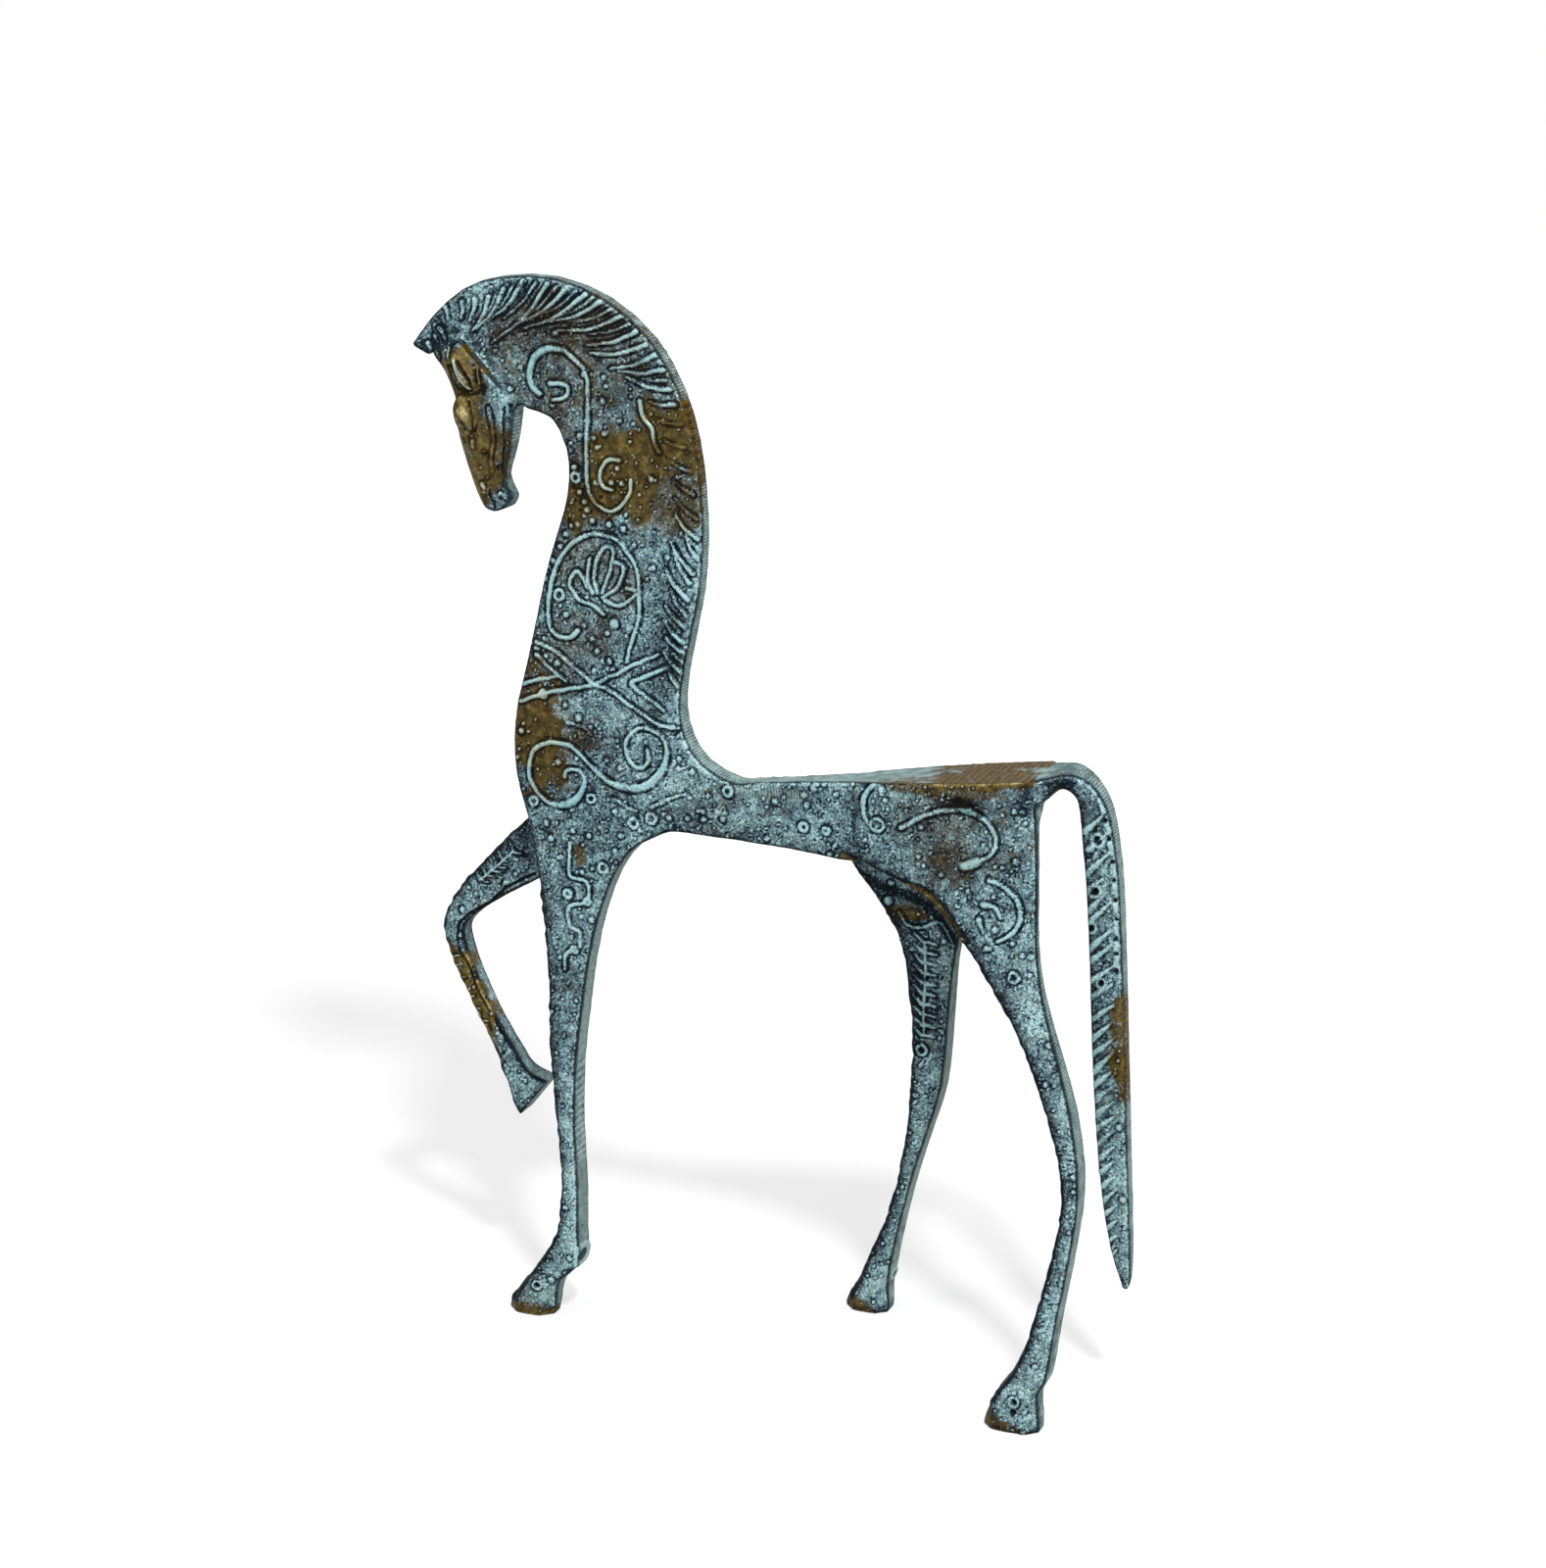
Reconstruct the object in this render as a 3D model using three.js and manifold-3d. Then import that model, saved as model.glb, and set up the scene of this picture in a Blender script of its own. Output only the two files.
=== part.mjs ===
// A standing horse, cast in bronze in the archaic Greek manner. Lengths are in millimetres.
// +Z is up, the horse faces -X and its left side faces -Y. Lengths are taken from the withers or the
// croup, heights from the floor, and widths from the flat middle plane of the neck and trunk.

import * as THREE from "three";
import { mergeVertices } from "three/addons/utils/BufferGeometryUtils.js";
import Module from "manifold-3d";

const wasm = await Module();
wasm.setup();

// Clearances, edges and smoothness

const seamGap = 0.3; // between two castings that meet
const pinClearance = 0.3; // round a locating pin and past each of its ends
const edgeRadius = 1.3; // filed on every long edge
const stepsPerRib = 2; // lofted sections from one rib to the next
const pinSides = 16;

// The straight, filed line of the back, from the withers, where x is 0, to the croup

const withersHeight = 181;
const croupHeight = 194.7;
const backLength = 100;

// The neck, from the forelock over the crest and down to the shoulder. Each rib runs from the front
// edge to the crest, given as [x, height over the withers], with the thickness of the plate there.
// "strand" is the length of the mane's strands beside the rib and "lean" the way they point from the
// crest, in degrees from +X towards +Z.

const neckRibs = {
  forelockTip: { front: [-105.2, 126], crest: [-105.8, 127.6], thick: 3.2 },
  forelock: { front: [-99.8, 123.6], crest: [-98.8, 136], thick: 5, strand: 3, lean: -72 },
  brow: { front: [-92, 121], crest: [-87.8, 145], thick: 6.2, strand: 4.5, lean: -84 },
  poll: { front: [-83, 120], crest: [-74.8, 149.3], thick: 7, strand: 13, lean: -121 },
  crown: { front: [-74.5, 115], crest: [-57.5, 149.8], thick: 7.2, strand: 20, lean: -137 },
  jaw: { front: [-67, 109.8], crest: [-40.5, 144.4], thick: 7.4, strand: 21, lean: -157 },
  throat: { front: [-59, 107.5], crest: [-26.1, 133.3], thick: 7.6, strand: 16.5, lean: -168 },
  nape: { front: [-54.2, 98.5], crest: [-16.9, 118.7], thick: 7.6, strand: 11, lean: -184 },
  upper: { front: [-53.7, 88.8], crest: [-12, 103.6], thick: 7.4 },
  slender: { front: [-55.4, 80], crest: [-9.8, 87.5], thick: 7.2 },
  middle: { front: [-58.9, 69.5], crest: [-9.4, 73], thick: 7.2, strand: 9.5, lean: -222 },
  lower: { front: [-62.3, 58.5], crest: [-10.5, 58.5], thick: 7.4, strand: 10.5, lean: -232 },
  base: { front: [-65.3, 45.5], crest: [-13.3, 45], thick: 7.8, strand: 9, lean: -230 },
  breast: { front: [-68.6, 31.5], crest: [-16.1, 31.5], thick: 8.2, strand: 8, lean: -229 },
  chest: { front: [-72, 18.5], crest: [-17, 21], thick: 8.8, strand: 6, lean: -236 },
  deepChest: { front: [-73.4, 6.5], crest: [-15.1, 12.5], thick: 9.2 },
  point: { front: [-72.8, -4.5], crest: [-9.5, 5], thick: 9.2 },
  shoulder: { front: [-70.4, -14.5], crest: [3, -0.2], thick: 9 },
  armpit: { front: [-68.4, -21], crest: [22, 0.6], thick: 8.6 },
};
const neckCrown = 0.5; // how far the faces of the plate swell past its edges

// The trunk, a slender bar that widens towards the croup. "along" is a share of the back's length
// and "depth" is taken down from the line of the back.

const trunkRibs = {
  inChest: { along: -0.4, depth: 12.5, topHalf: 4.2, bellyHalf: 4.4 },
  behindElbow: { along: -0.18, depth: 15.5, topHalf: 3.8, bellyHalf: 4.3 },
  withers: { along: 0, depth: 18.2, topHalf: 3.4, bellyHalf: 4.2 },
  back: { along: 0.18, depth: 21.3, topHalf: 3.8, bellyHalf: 4.4 },
  loin: { along: 0.3, depth: 23.7, topHalf: 5, bellyHalf: 5.2 },
  flank: { along: 0.42, depth: 25.6, topHalf: 6.4, bellyHalf: 6.2 },
  tongue: { along: 0.74, depth: 27.1, topHalf: 8, bellyHalf: 8 },
};
const trunkOverTop = 6; // the loft stands this far over the back before the back is filed straight

// The tongue behind the trunk, clasped by both haunches

const tongueStart = 0.41; // shares of the back's length
const tongueEnd = 0.7;
const tongueRootHalf = 3.2;
const tongueTipHalf = 1.8;

// The foreleg that the horse stands on. "rise" is a share of the withers' height, and "middle" is
// how far the limb's middle lies from the middle plane.

const standingForeRibs = {
  inShoulder: { rise: 0.95, front: -71, back: -12, middle: 0, deep: 8.4 },
  underShoulder: { rise: 0.906, front: -69.4, back: -19, middle: 0.1, deep: 8.6 },
  armpit: { rise: 0.873, front: -67.7, back: -31.2, middle: 0.3, deep: 8.8 },
  elbow: { rise: 0.818, front: -66.2, back: -39, middle: 0.6, deep: 9.2 },
  forearm: { rise: 0.74, front: -64.1, back: -44.4, middle: 1.4, deep: 9.6 },
  lowForearm: { rise: 0.652, front: -61.9, back: -47.7, middle: 2.6, deep: 9.8 },
  aboveKnee: { rise: 0.564, front: -61.2, back: -49.6, middle: 3.8, deep: 10 },
  knee: { rise: 0.475, front: -60.3, back: -51.2, middle: 5, deep: 10.2 },
  cannon: { rise: 0.365, front: -57.9, back: -51.4, middle: 6.4, deep: 10.4 },
  lowCannon: { rise: 0.254, front: -55.7, back: -50, middle: 7.8, deep: 10.6 },
  fetlock: { rise: 0.16, front: -57.1, back: -49.4, middle: 9.2, deep: 10.8 },
  pastern: { rise: 0.103, front: -62.8, back: -49.6, middle: 10, deep: 10.8 },
  coronet: { rise: 0.066, front: -67.8, back: -56.2, middle: 10.4, deep: 11, round: 2.6 },
  hoofWall: { rise: 0.022, front: -73.8, back: -57.6, middle: 10.6, deep: 12, round: 4 },
  sole: { rise: 0, front: -74.6, back: -58.4, middle: 10.6, deep: 11.6, round: 4 },
};

// The raised foreleg. Each rib runs from the front edge of the limb to its back edge, given as the
// neck's are.

const raisedForeRibs = {
  root: { front: [-50, -9], back: [-44, -22.5], middle: 9, deep: 8 },
  shoulder: { front: [-59, -11.5], back: [-52, -29], middle: 9.2, deep: 8.6 },
  upperArm: { front: [-73.6, -21.2], back: [-64, -37.6], middle: 9.6, deep: 8.8 },
  forearm: { front: [-86.1, -33.6], back: [-76.4, -45], middle: 10, deep: 8.8 },
  aboveKnee: { front: [-97.2, -45.4], back: [-88.4, -52.4], middle: 10.4, deep: 8.8 },
  knee: { front: [-105, -57.7], back: [-97, -59.6], middle: 10.8, deep: 8.8 },
  belowKnee: { front: [-104.8, -67.4], back: [-98, -65.6], middle: 11, deep: 8.6 },
  shin: { front: [-99.8, -80], back: [-94, -77.6], middle: 11.2, deep: 8.2 },
  lowShin: { front: [-92.8, -93.8], back: [-87.4, -91.2], middle: 11.4, deep: 8 },
  fetlock: { front: [-87.6, -104], back: [-81.2, -101.2], middle: 11.5, deep: 8.2 },
  pastern: { front: [-84.8, -111.4], back: [-77.4, -107], middle: 11.6, deep: 8.8 },
  coronet: { front: [-82.4, -117.4], back: [-73.6, -109], middle: 11.6, deep: 10 },
  sole: { front: [-79.6, -123.4], back: [-69.6, -110.6], middle: 11.6, deep: 10.6 },
};
const raisedSeatHalf = 4.6; // from the middle plane to the flat that the raised foreleg laps on

// The haunches and hind legs. "rise" is a share of the croup's height, and front and back are taken
// from the croup. "out" is how far the outer face lies from the middle plane and "deep" the
// thickness from there inwards; frontOut and frontDeep are the same at the front edge.

const haunchTop = {
  overCroup: {
    rise: 1.027, front: -61, back: 0, out: 12.4, deep: 12.4, frontOut: 6, frontDeep: 6, crown: 3,
  },
  croup: {
    rise: 0.963, front: -61, back: -1, out: 13.2, deep: 13.2, frontOut: 6.6, frontDeep: 6.6, crown: 2.4,
  },
};

const nearHindRibs = {
  ...haunchTop,
  haunch: {
    rise: 0.93, front: -61, back: -0.6, out: 13.8, deep: 6.2, frontOut: 6.9, frontDeep: 6.9, crown: 2,
  },
  loin: {
    rise: 0.873, front: -60.5, back: 0.3, out: 15, deep: 5.2, frontOut: 7, frontDeep: 6.8, crown: 1.8,
  },
  flank: {
    rise: 0.835, front: -58, back: 0.7, out: 15.8, deep: 5, frontOut: 7.4, frontDeep: 5.6, crown: 1.4,
  },
  stifle: {
    rise: 0.804, front: -38, back: 1, out: 16.5, deep: 5, frontOut: 11.4, frontDeep: 4.8, crown: 1,
  },
  thigh: {
    rise: 0.755, front: -24.4, back: 1.5, out: 17.8, deep: 5.4, frontOut: 15.6, frontDeep: 5, crown: 0.6,
  },
  gaskin: { rise: 0.678, front: -12, back: 4, out: 19.8, deep: 6.4, frontOut: 19.6, frontDeep: 5.8 },
  lowGaskin: { rise: 0.591, front: -0.7, back: 9.5, out: 22.2, deep: 8 },
  aboveHock: { rise: 0.503, front: 6.8, back: 15, out: 24.6, deep: 9.8 },
  hock: { rise: 0.411, front: 12.8, back: 18.5, out: 26.8, deep: 10.5 },
  belowHock: { rise: 0.339, front: 13.6, back: 18.7, out: 28.7, deep: 10.5 },
  cannon: { rise: 0.257, front: 11, back: 17, out: 31, deep: 10.5 },
  lowCannon: { rise: 0.185, front: 8, back: 15, out: 33, deep: 10.6 },
  fetlock: { rise: 0.128, front: 5.2, back: 13.8, out: 34.6, deep: 10.8 },
  pastern: { rise: 0.085, front: 1.1, back: 12.8, out: 35.9, deep: 10.8 },
  coronet: { rise: 0.06, front: -2.7, back: 10.4, out: 36.8, deep: 11.4, round: 2.6 },
  hoofWall: { rise: 0.018, front: -5.8, back: 11.2, out: 37.8, deep: 12.2, round: 3.4 },
  sole: { rise: 0, front: -6.2, back: 11.2, out: 37.8, deep: 12, round: 3.4 },
};

const farHindRibs = {
  ...haunchTop,
  haunch: {
    rise: 0.93, front: -61, back: -8.4, out: 13.8, deep: 6.4, frontOut: 6.9, frontDeep: 6.9, crown: 2,
  },
  flank: {
    rise: 0.858, front: -65.4, back: -14, out: 15, deep: 5.4, frontOut: 7.2, frontDeep: 6.6, crown: 1.6,
  },
  stifle: {
    rise: 0.812, front: -66.6, back: -20, out: 16.2, deep: 5.4, frontOut: 12, frontDeep: 5.4, crown: 1,
  },
  thigh: {
    rise: 0.76, front: -60.4, back: -27, out: 17.6, deep: 6, frontOut: 15.6, frontDeep: 6, crown: 0.6,
  },
  gaskin: { rise: 0.688, front: -52.6, back: -32.7, out: 19.6, deep: 7.6 },
  lowGaskin: { rise: 0.606, front: -49, back: -35, out: 21.8, deep: 9.4 },
  aboveHock: { rise: 0.524, front: -48.1, back: -36.6, out: 24, deep: 10.2 },
  hock: { rise: 0.431, front: -49, back: -38.9, out: 26.4, deep: 10.4 },
  belowHock: { rise: 0.349, front: -51.1, back: -43.9, out: 28.6, deep: 10.4 },
  cannon: { rise: 0.267, front: -54.4, back: -49.2, out: 30.8, deep: 10.4 },
  lowCannon: { rise: 0.19, front: -58.4, back: -53.4, out: 32.8, deep: 10.6 },
  fetlock: { rise: 0.128, front: -63.5, back: -56.4, out: 34.6, deep: 10.8 },
  pastern: { rise: 0.085, front: -67, back: -58.2, out: 35.8, deep: 11.4 },
  coronet: { rise: 0.049, front: -70.2, back: -59.4, out: 36.6, deep: 11.4, round: 2.6 },
  hoofWall: { rise: 0.018, front: -73.8, back: -59.4, out: 37.6, deep: 12.4, round: 3.4 },
  sole: { rise: 0, front: -74.2, back: -59.8, out: 37.6, deep: 12.2, round: 3.4 },
};

// The tail, a flat strip that bends down behind the croup. Each rib runs from its outer to its inner
// edge, given as [x, height] from the end of the back's line.

const tailRibs = {
  root: { outer: [-2, -0.1], inner: [-2, -8], deep: 23.6 },
  behindCroup: { outer: [1.6, 0.5], inner: [0.8, -7], deep: 21 },
  bend: { outer: [6.4, 1.4], inner: [4.2, -3.6], deep: 15.6 },
  overArch: { outer: [10.9, 0], inner: [6.8, -4.7], deep: 11.8 },
  turn: { outer: [14.7, -3.3], inner: [8.6, -7.3], deep: 9.6 },
  dock: { outer: [18.3, -9.5], inner: [9.4, -12.1], deep: 8.4 },
  top: { outer: [20.4, -19.1], inner: [10.2, -19.9], deep: 8 },
  upper: { outer: [22.2, -32.7], inner: [11.6, -32.7], deep: 7.8 },
  middle: { outer: [23.6, -54.7], inner: [13.2, -54.7], deep: 7.6 },
  lower: { outer: [25, -80.7], inner: [14.6, -80.7], deep: 7.6 },
  taper: { outer: [26.4, -106.7], inner: [16.4, -106.7], deep: 7.4 },
  narrow: { outer: [27.6, -128.7], inner: [18.8, -128.7], deep: 7 },
  nearTip: { outer: [28.5, -146.7], inner: [22, -146.7], deep: 6.2 },
  tip: { outer: [28.5, -156.1], inner: [25, -156.1], deep: 4.6 },
  end: { outer: [27.4, -159.7], inner: [26, -159.5], deep: 3 },
};
const tailSeatDepth = 8.3; // from the line of the back down to the floor of the tail's seat

// The notch in the neck that the crown of the head seats in, given as the neck's ribs are

const notch = { front: [-102, 123.2], top: [-88, 130.5], throat: [-66.6, 108.6] };
const underChin = 10; // how far under the chin the notch's cut runs, clear of the chest

// The head, from inside the notch down to the muzzle, given the same way

const headRibs = {
  inNotch: { brow: [-100, 135], jaw: [-76, 141], browDeep: 9, jawDeep: 9 },
  crown: { brow: [-99.6, 127.4], jaw: [-71, 122], browDeep: 11.6, jawDeep: 10 },
  ears: { brow: [-94.4, 121.6], jaw: [-70.4, 111.6], browDeep: 13, jawDeep: 10.4 },
  eyes: { brow: [-90.2, 112.4], jaw: [-71, 105.6], browDeep: 13.6, jawDeep: 10.4 },
  cheek: { brow: [-90, 104], jaw: [-71.8, 100], browDeep: 12.8, jawDeep: 9.6 },
  nose: { brow: [-88.7, 96.4], jaw: [-73.2, 94.4], browDeep: 11, jawDeep: 8.6 },
  bridge: { brow: [-86.4, 88.4], jaw: [-74.6, 89], browDeep: 9.6, jawDeep: 8 },
  nostrils: { brow: [-84.1, 82.2], jaw: [-73.4, 85.4], browDeep: 9.4, jawDeep: 8 },
  lips: { brow: [-81.8, 78], jaw: [-71.8, 82.4], browDeep: 8.6, jawDeep: 7.4 },
  chin: { brow: [-78.8, 77.2], jaw: [-73.2, 79.4], browDeep: 6, jawDeep: 5.4 },
};
const headCrown = 1.2;
const headRound = 2.2;

// Raised leaves on both sides of the head and the slits cut in them. "at" is the middle in the side
// view, "tilt" the lean of the leaf's long axis forwards from upright, in degrees.

const earLeaf = { at: [-88.8, 121.4], long: 7.4, wide: 3.1, thick: 2.6, tilt: 27, out: 6.6 };
const earSlit = { at: [-88.4, 120.6], long: 5, wide: 1, thick: 1.8, tilt: 27, out: 9.4 };
const browLeaf = { at: [-86.8, 106.4], long: 6, wide: 2.6, thick: 2, tilt: 18, out: 7 };
const eyeSlit = { at: [-84.9, 104.6], long: 4.4, wide: 0.7, thick: 1.4, tilt: 12, out: 8.6 };
const cheekLeaf = { at: [-76.6, 106], long: 6.4, wide: 4.4, thick: 1.8, tilt: 10, out: 5.6 };
const nostrilPit = { at: [-80.4, 82.4], long: 1.2, wide: 0.9, thick: 0.9, tilt: 30, out: 5.8 };

// The pits drilled in two hooves. "rise" is a share of the limb's height, "across" one of its width.

const hoofPit = { radius: 0.9, deep: 1.4, across: 0.5 };
const foreHoofPitRise = 0.036;
const hindHoofPitRise = 0.034;

// Relief lines, raised on the faces of the castings

const relief = { wide: 1.6, high: 0.55, sunk: 0.3, endScale: 0.5 };
const reliefSteepest = 0.5; // the most that a line's seat may rise across its width, against edges
const arcStep = 36; // degrees
const strandPitch = 4.8;
const strandInset = 1.9;

// Scrolls and arcs on the neck. Each turn is [radius, angle in degrees]; "ease" over 1 holds the
// first radius for longer.

const neckScroll = {
  top: { at: [-56.5, 119.5], from: [11.4, -14], to: [3, 345], ease: 1.6 },
  foot: { at: [-38, 89], from: [8.1, 183], to: [2, 600], ease: 2.2 },
};
const chestScroll = {
  left: { at: [-58.5, -4], from: [11, 98], to: [5.6, 400], ease: 3 },
  stem: { at: [-29, 7.5], from: [18.9, 199], to: [8.4, 335], ease: 0.8 },
  right: { at: [-29, 7.5], from: [8.4, 350], to: [2.4, 730], ease: 1.2 },
};
const neckVein = [[-28.8, 114.8], [-25, 107.1], [-22.6, 100]];

// The palmette under its arch, with a string of beads over the arch

const arch = { at: [-44.5, 55], wide: 15.2, tall: 18.8, from: 232, to: -60 };
const palmette = { at: [-43, 53], petals: 5, from: 142, to: 32, long: 15, short: 8.5, plump: 0.19 };
const palmetteFoot = [[-52.2, 56.4], [-49.3, 53], [-45.1, 51.8], [-41.2, 49.1]];
const beads = { count: 9, radius: 0.7, from: 165, to: 30, outside: 3.4 };

// The crossed bands under the palmette

const bands = [
  [[-63.8, 38.5], [-48.7, 29.8], [-34.1, 22.2], [-16.9, 16]],
  [[-69.9, 19.4], [-53.8, 24.7], [-40.5, 29.3], [-23.5, 38.2]],
  [[-64.2, 34.5], [-56, 28.5], [-68.8, 25.1]],
  [[-21, 34.2], [-32.4, 28.6], [-21.7, 21]],
];

// The stepped line down the standing foreleg

const meander = {
  above: [[-54, -22], [-54.2, -31]],
  below: [[-54.2, -35], [-48.5, -36.7], [-48.3, -43], [-54.4, -45.4], [-54.5, -51.5], [-51, -53.3]],
};

// Rings as [x, height over the withers, radius], and the row of beads along the trunk

const ringTube = 0.5;
const rings = [
  [-56.2, 53.9, 1.6],
  [-38, 46.4, 1.8],
  [-26.3, -13.6, 1.6],
  [-32.3, -15.8, 1.4],
  [-66.2, -12.3, 1.3],
  [-46.4, -9.5, 1.3],
  [-42.8, -30.6, 1.5],
];
const beadRow = { from: [-20.4, -12.9], to: [-2.6, -11.2], count: 4 };

// Arcs and strokes on the haunches, given from the end of the back's line

const haunchLines = {
  hook: { at: [-49.5, -14.2], from: [4.6, 78], to: [4, 262], ease: 1 },
  bow: { at: [-24, -21.2], from: [17, 168], to: [7.4, -52], ease: 0.7 },
  curl: { at: [-13.6, -41.7], from: [8, 100], to: [8.4, -84], ease: 1 },
};
const haunchRings = [[-49.9, -18.9, 2], [-42.7, -4.6, 1.4], [-6.8, -61, 1.5]];

// Tick marks on the limbs and strokes down the tail. "from" and "to" are places along the limb in
// ribs, "across" shares of its width, and "climb" how far a stroke rises from its first end.

const tailStrokes = { from: 5.6, to: 12.8, pitch: 5, across: [0.84, 0.16], climb: 4.6 };
const ladder = { from: 6.1, to: 8.4, pitch: 3.1, across: [0.52, 0.8], climb: 0 };
const ladderLeaves = { from: 6.2, to: 8.4, pitch: 4.6, across: [0.5, 0.18], climb: 2.6 };
const armLeaves = { from: 1.7, to: 4.2, pitch: 4.2, across: [0.78, 0.3], climb: -2.4 };
const shinTicks = { from: 6.2, to: 8.6, pitch: 3.1, across: [0.2, 0.62], climb: 0 };

// Locating pins. "below" is taken down from the line of the back.

const headPin = { radius: 1.5, reach: 9 };
const standingForePin = { radius: 2, reach: 11 };
const raisedForePin = { radius: 2, at: [-55.5, -18.6], inChest: 2.6, inLeg: 11 };
const frontHaunchPin = { radius: 2, along: 0.54, below: 13.4, reach: 7 };
const rearHaunchPin = { radius: 1.4, along: 0.76, below: 2.8, reach: 10 };
const tailPin = { radius: 1.2, below: 3.3, inCroup: 10, inTail: 4 };

const near = -1;
const far = 1;

// Lofted castings

function backHeight(x) {
  return withersHeight + (croupHeight - withersHeight) * (x / backLength);
}

// A point given from the withers, and one given from the end of the back's line
function fromWithers([x, height]) {
  return [x, withersHeight + height];
}

function fromCroup([x, height]) {
  return [backLength + x, croupHeight + height];
}

// A rib has two edges, each with its place in the side view and the distances of its two faces
// from the middle plane.
function edge(x, z, inner, outer) {
  return { x, z, inner, outer };
}

function platedRib([frontX, frontZ], [backX, backZ], thick, crown) {
  const half = thick / 2;
  return {
    front: edge(frontX, frontZ, -half, half),
    back: edge(backX, backZ, -half, half),
    crown,
    innerCrown: crown,
    round: edgeRadius,
    faceSteps: 2,
  };
}

function limbRib([frontX, frontZ], [backX, backZ], middle, deep, round = edgeRadius) {
  const half = deep / 2;
  return {
    front: edge(frontX, frontZ, middle - half, middle + half),
    back: edge(backX, backZ, middle - half, middle + half),
    crown: 0,
    innerCrown: 0,
    round,
    faceSteps: 1,
  };
}

function haunchRib(rib) {
  const { rise, front, back, out, deep, crown = 0, round = edgeRadius } = rib;
  const { frontOut = out, frontDeep = deep } = rib;
  const z = rise * croupHeight;
  return {
    front: edge(backLength + front, z, frontOut - frontDeep, frontOut),
    back: edge(backLength + back, z, out - deep, out),
    crown,
    innerCrown: 0,
    round,
    faceSteps: 3,
  };
}

// A smooth value between p1 and p2, on the curve that also passes p0 and p3
function smoothValue(p0, p1, p2, p3, t) {
  const slope1 = (p2 - p0) / 2;
  const slope2 = (p3 - p1) / 2;
  const cubic = 2 * p1 - 2 * p2 + slope1 + slope2;
  const square = -3 * p1 + 3 * p2 - 2 * slope1 - slope2;
  return ((cubic * t + square) * t + slope1) * t + p1;
}

function smoothEdge(edges, t) {
  const mix = (key) => smoothValue(...edges.map((one) => one[key]), t);
  return edge(mix("x"), mix("z"), mix("inner"), mix("outer"));
}

function smoothRib(ribs, t) {
  const mix = (key) => smoothValue(...ribs.map((rib) => rib[key]), t);
  return {
    front: smoothEdge(ribs.map((rib) => rib.front), t),
    back: smoothEdge(ribs.map((rib) => rib.back), t),
    crown: mix("crown"),
    innerCrown: mix("innerCrown"),
    round: mix("round"),
    faceSteps: ribs[1].faceSteps,
  };
}

function fillRibs(ribs) {
  const filled = [];
  for (let i = 0; i + 1 < ribs.length; i += 1) {
    const before = ribs[Math.max(i - 1, 0)];
    const after = ribs[Math.min(i + 2, ribs.length - 1)];
    for (let step = 0; step < stepsPerRib; step += 1) {
      filled.push(smoothRib([before, ribs[i], ribs[i + 1], after], step / stepsPerRib));
    }
  }
  filled.push(ribs.at(-1));
  return filled;
}

// The points round one rib: along its outer face from front to back, and back along the inner face
function ringPoints({ front, back, crown, innerCrown, round: wanted, faceSteps }, side) {
  const length = Math.hypot(back.x - front.x, back.z - front.z);
  const thinnest = Math.min(front.outer - front.inner, back.outer - back.inner);
  const round = Math.min(wanted, length / 3, thinnest / 3);
  const turn = round / length;
  const swell = (u) => 4 * u * (1 - u);
  const outer = (u) => THREE.MathUtils.lerp(front.outer, back.outer, u) + crown * swell(u);
  const inner = (u) => THREE.MathUtils.lerp(front.inner, back.inner, u) - innerCrown * swell(u);
  const onFace = [turn];
  for (let step = 1; step < faceSteps; step += 1) {
    onFace.push(step / faceSteps);
  }
  onFace.push(1 - turn);
  const outline = [
    [0, outer(0) - round],
    ...onFace.map((u) => [u, outer(u)]),
    [1, outer(1) - round],
    [1, inner(1) + round],
    ...onFace.toReversed().map((u) => [u, inner(u)]),
    [0, inner(0) + round],
  ];
  return outline.map(([u, distance]) => {
    const x = THREE.MathUtils.lerp(front.x, back.x, u);
    const z = THREE.MathUtils.lerp(front.z, back.z, u);
    return new THREE.Vector3(x, side * distance, z);
  });
}

function signedVolume(points, faces) {
  let sum = 0;
  for (const [a, b, c] of faces) {
    sum += points[a].dot(points[b].clone().cross(points[c])) / 6;
  }
  return sum;
}

// A closed skin over rings of equally many points, with a flat fan at each end
function skin(rings) {
  const count = rings[0].length;
  const points = rings.flat();
  const faces = [];
  for (let i = 0; i + 1 < rings.length; i += 1) {
    for (let j = 0; j < count; j += 1) {
      const a = i * count + j;
      const b = i * count + ((j + 1) % count);
      faces.push([a, b, b + count]);
      faces.push([a, b + count, a + count]);
    }
  }
  for (const [first, turned] of [[0, true], [(rings.length - 1) * count, false]]) {
    for (let j = 1; j + 1 < count; j += 1) {
      const fan = [first, first + j, first + j + 1];
      faces.push(turned ? fan.reverse() : fan);
    }
  }
  if (signedVolume(points, faces) < 0) {
    faces.forEach((face) => face.reverse());
  }
  const geometry = new THREE.BufferGeometry().setFromPoints(points);
  geometry.setIndex(faces.flat());
  return geometry;
}

function loft(ribs, side) {
  return solidOf(skin(fillRibs(ribs).map((rib) => ringPoints(rib, side))));
}

// Solids, cuts and meshes

function solidOf(geometry) {
  const bare = geometry.clone();
  bare.deleteAttribute("normal");
  bare.deleteAttribute("uv");
  const merged = mergeVertices(bare, 1e-4);
  const mesh = new wasm.Mesh({
    numProp: 3,
    vertProperties: new Float32Array(merged.attributes.position.array),
    triVerts: new Uint32Array(merged.index.array),
  });
  return new wasm.Manifold(mesh);
}

// A convex outline in the side view, as [x, z], carried across the horse from fromY to toY
function sideBlock(outline, fromY, toY) {
  return solidOf(skin([fromY, toY].map((y) => outline.map(([x, z]) => new THREE.Vector3(x, y, z)))));
}

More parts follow.
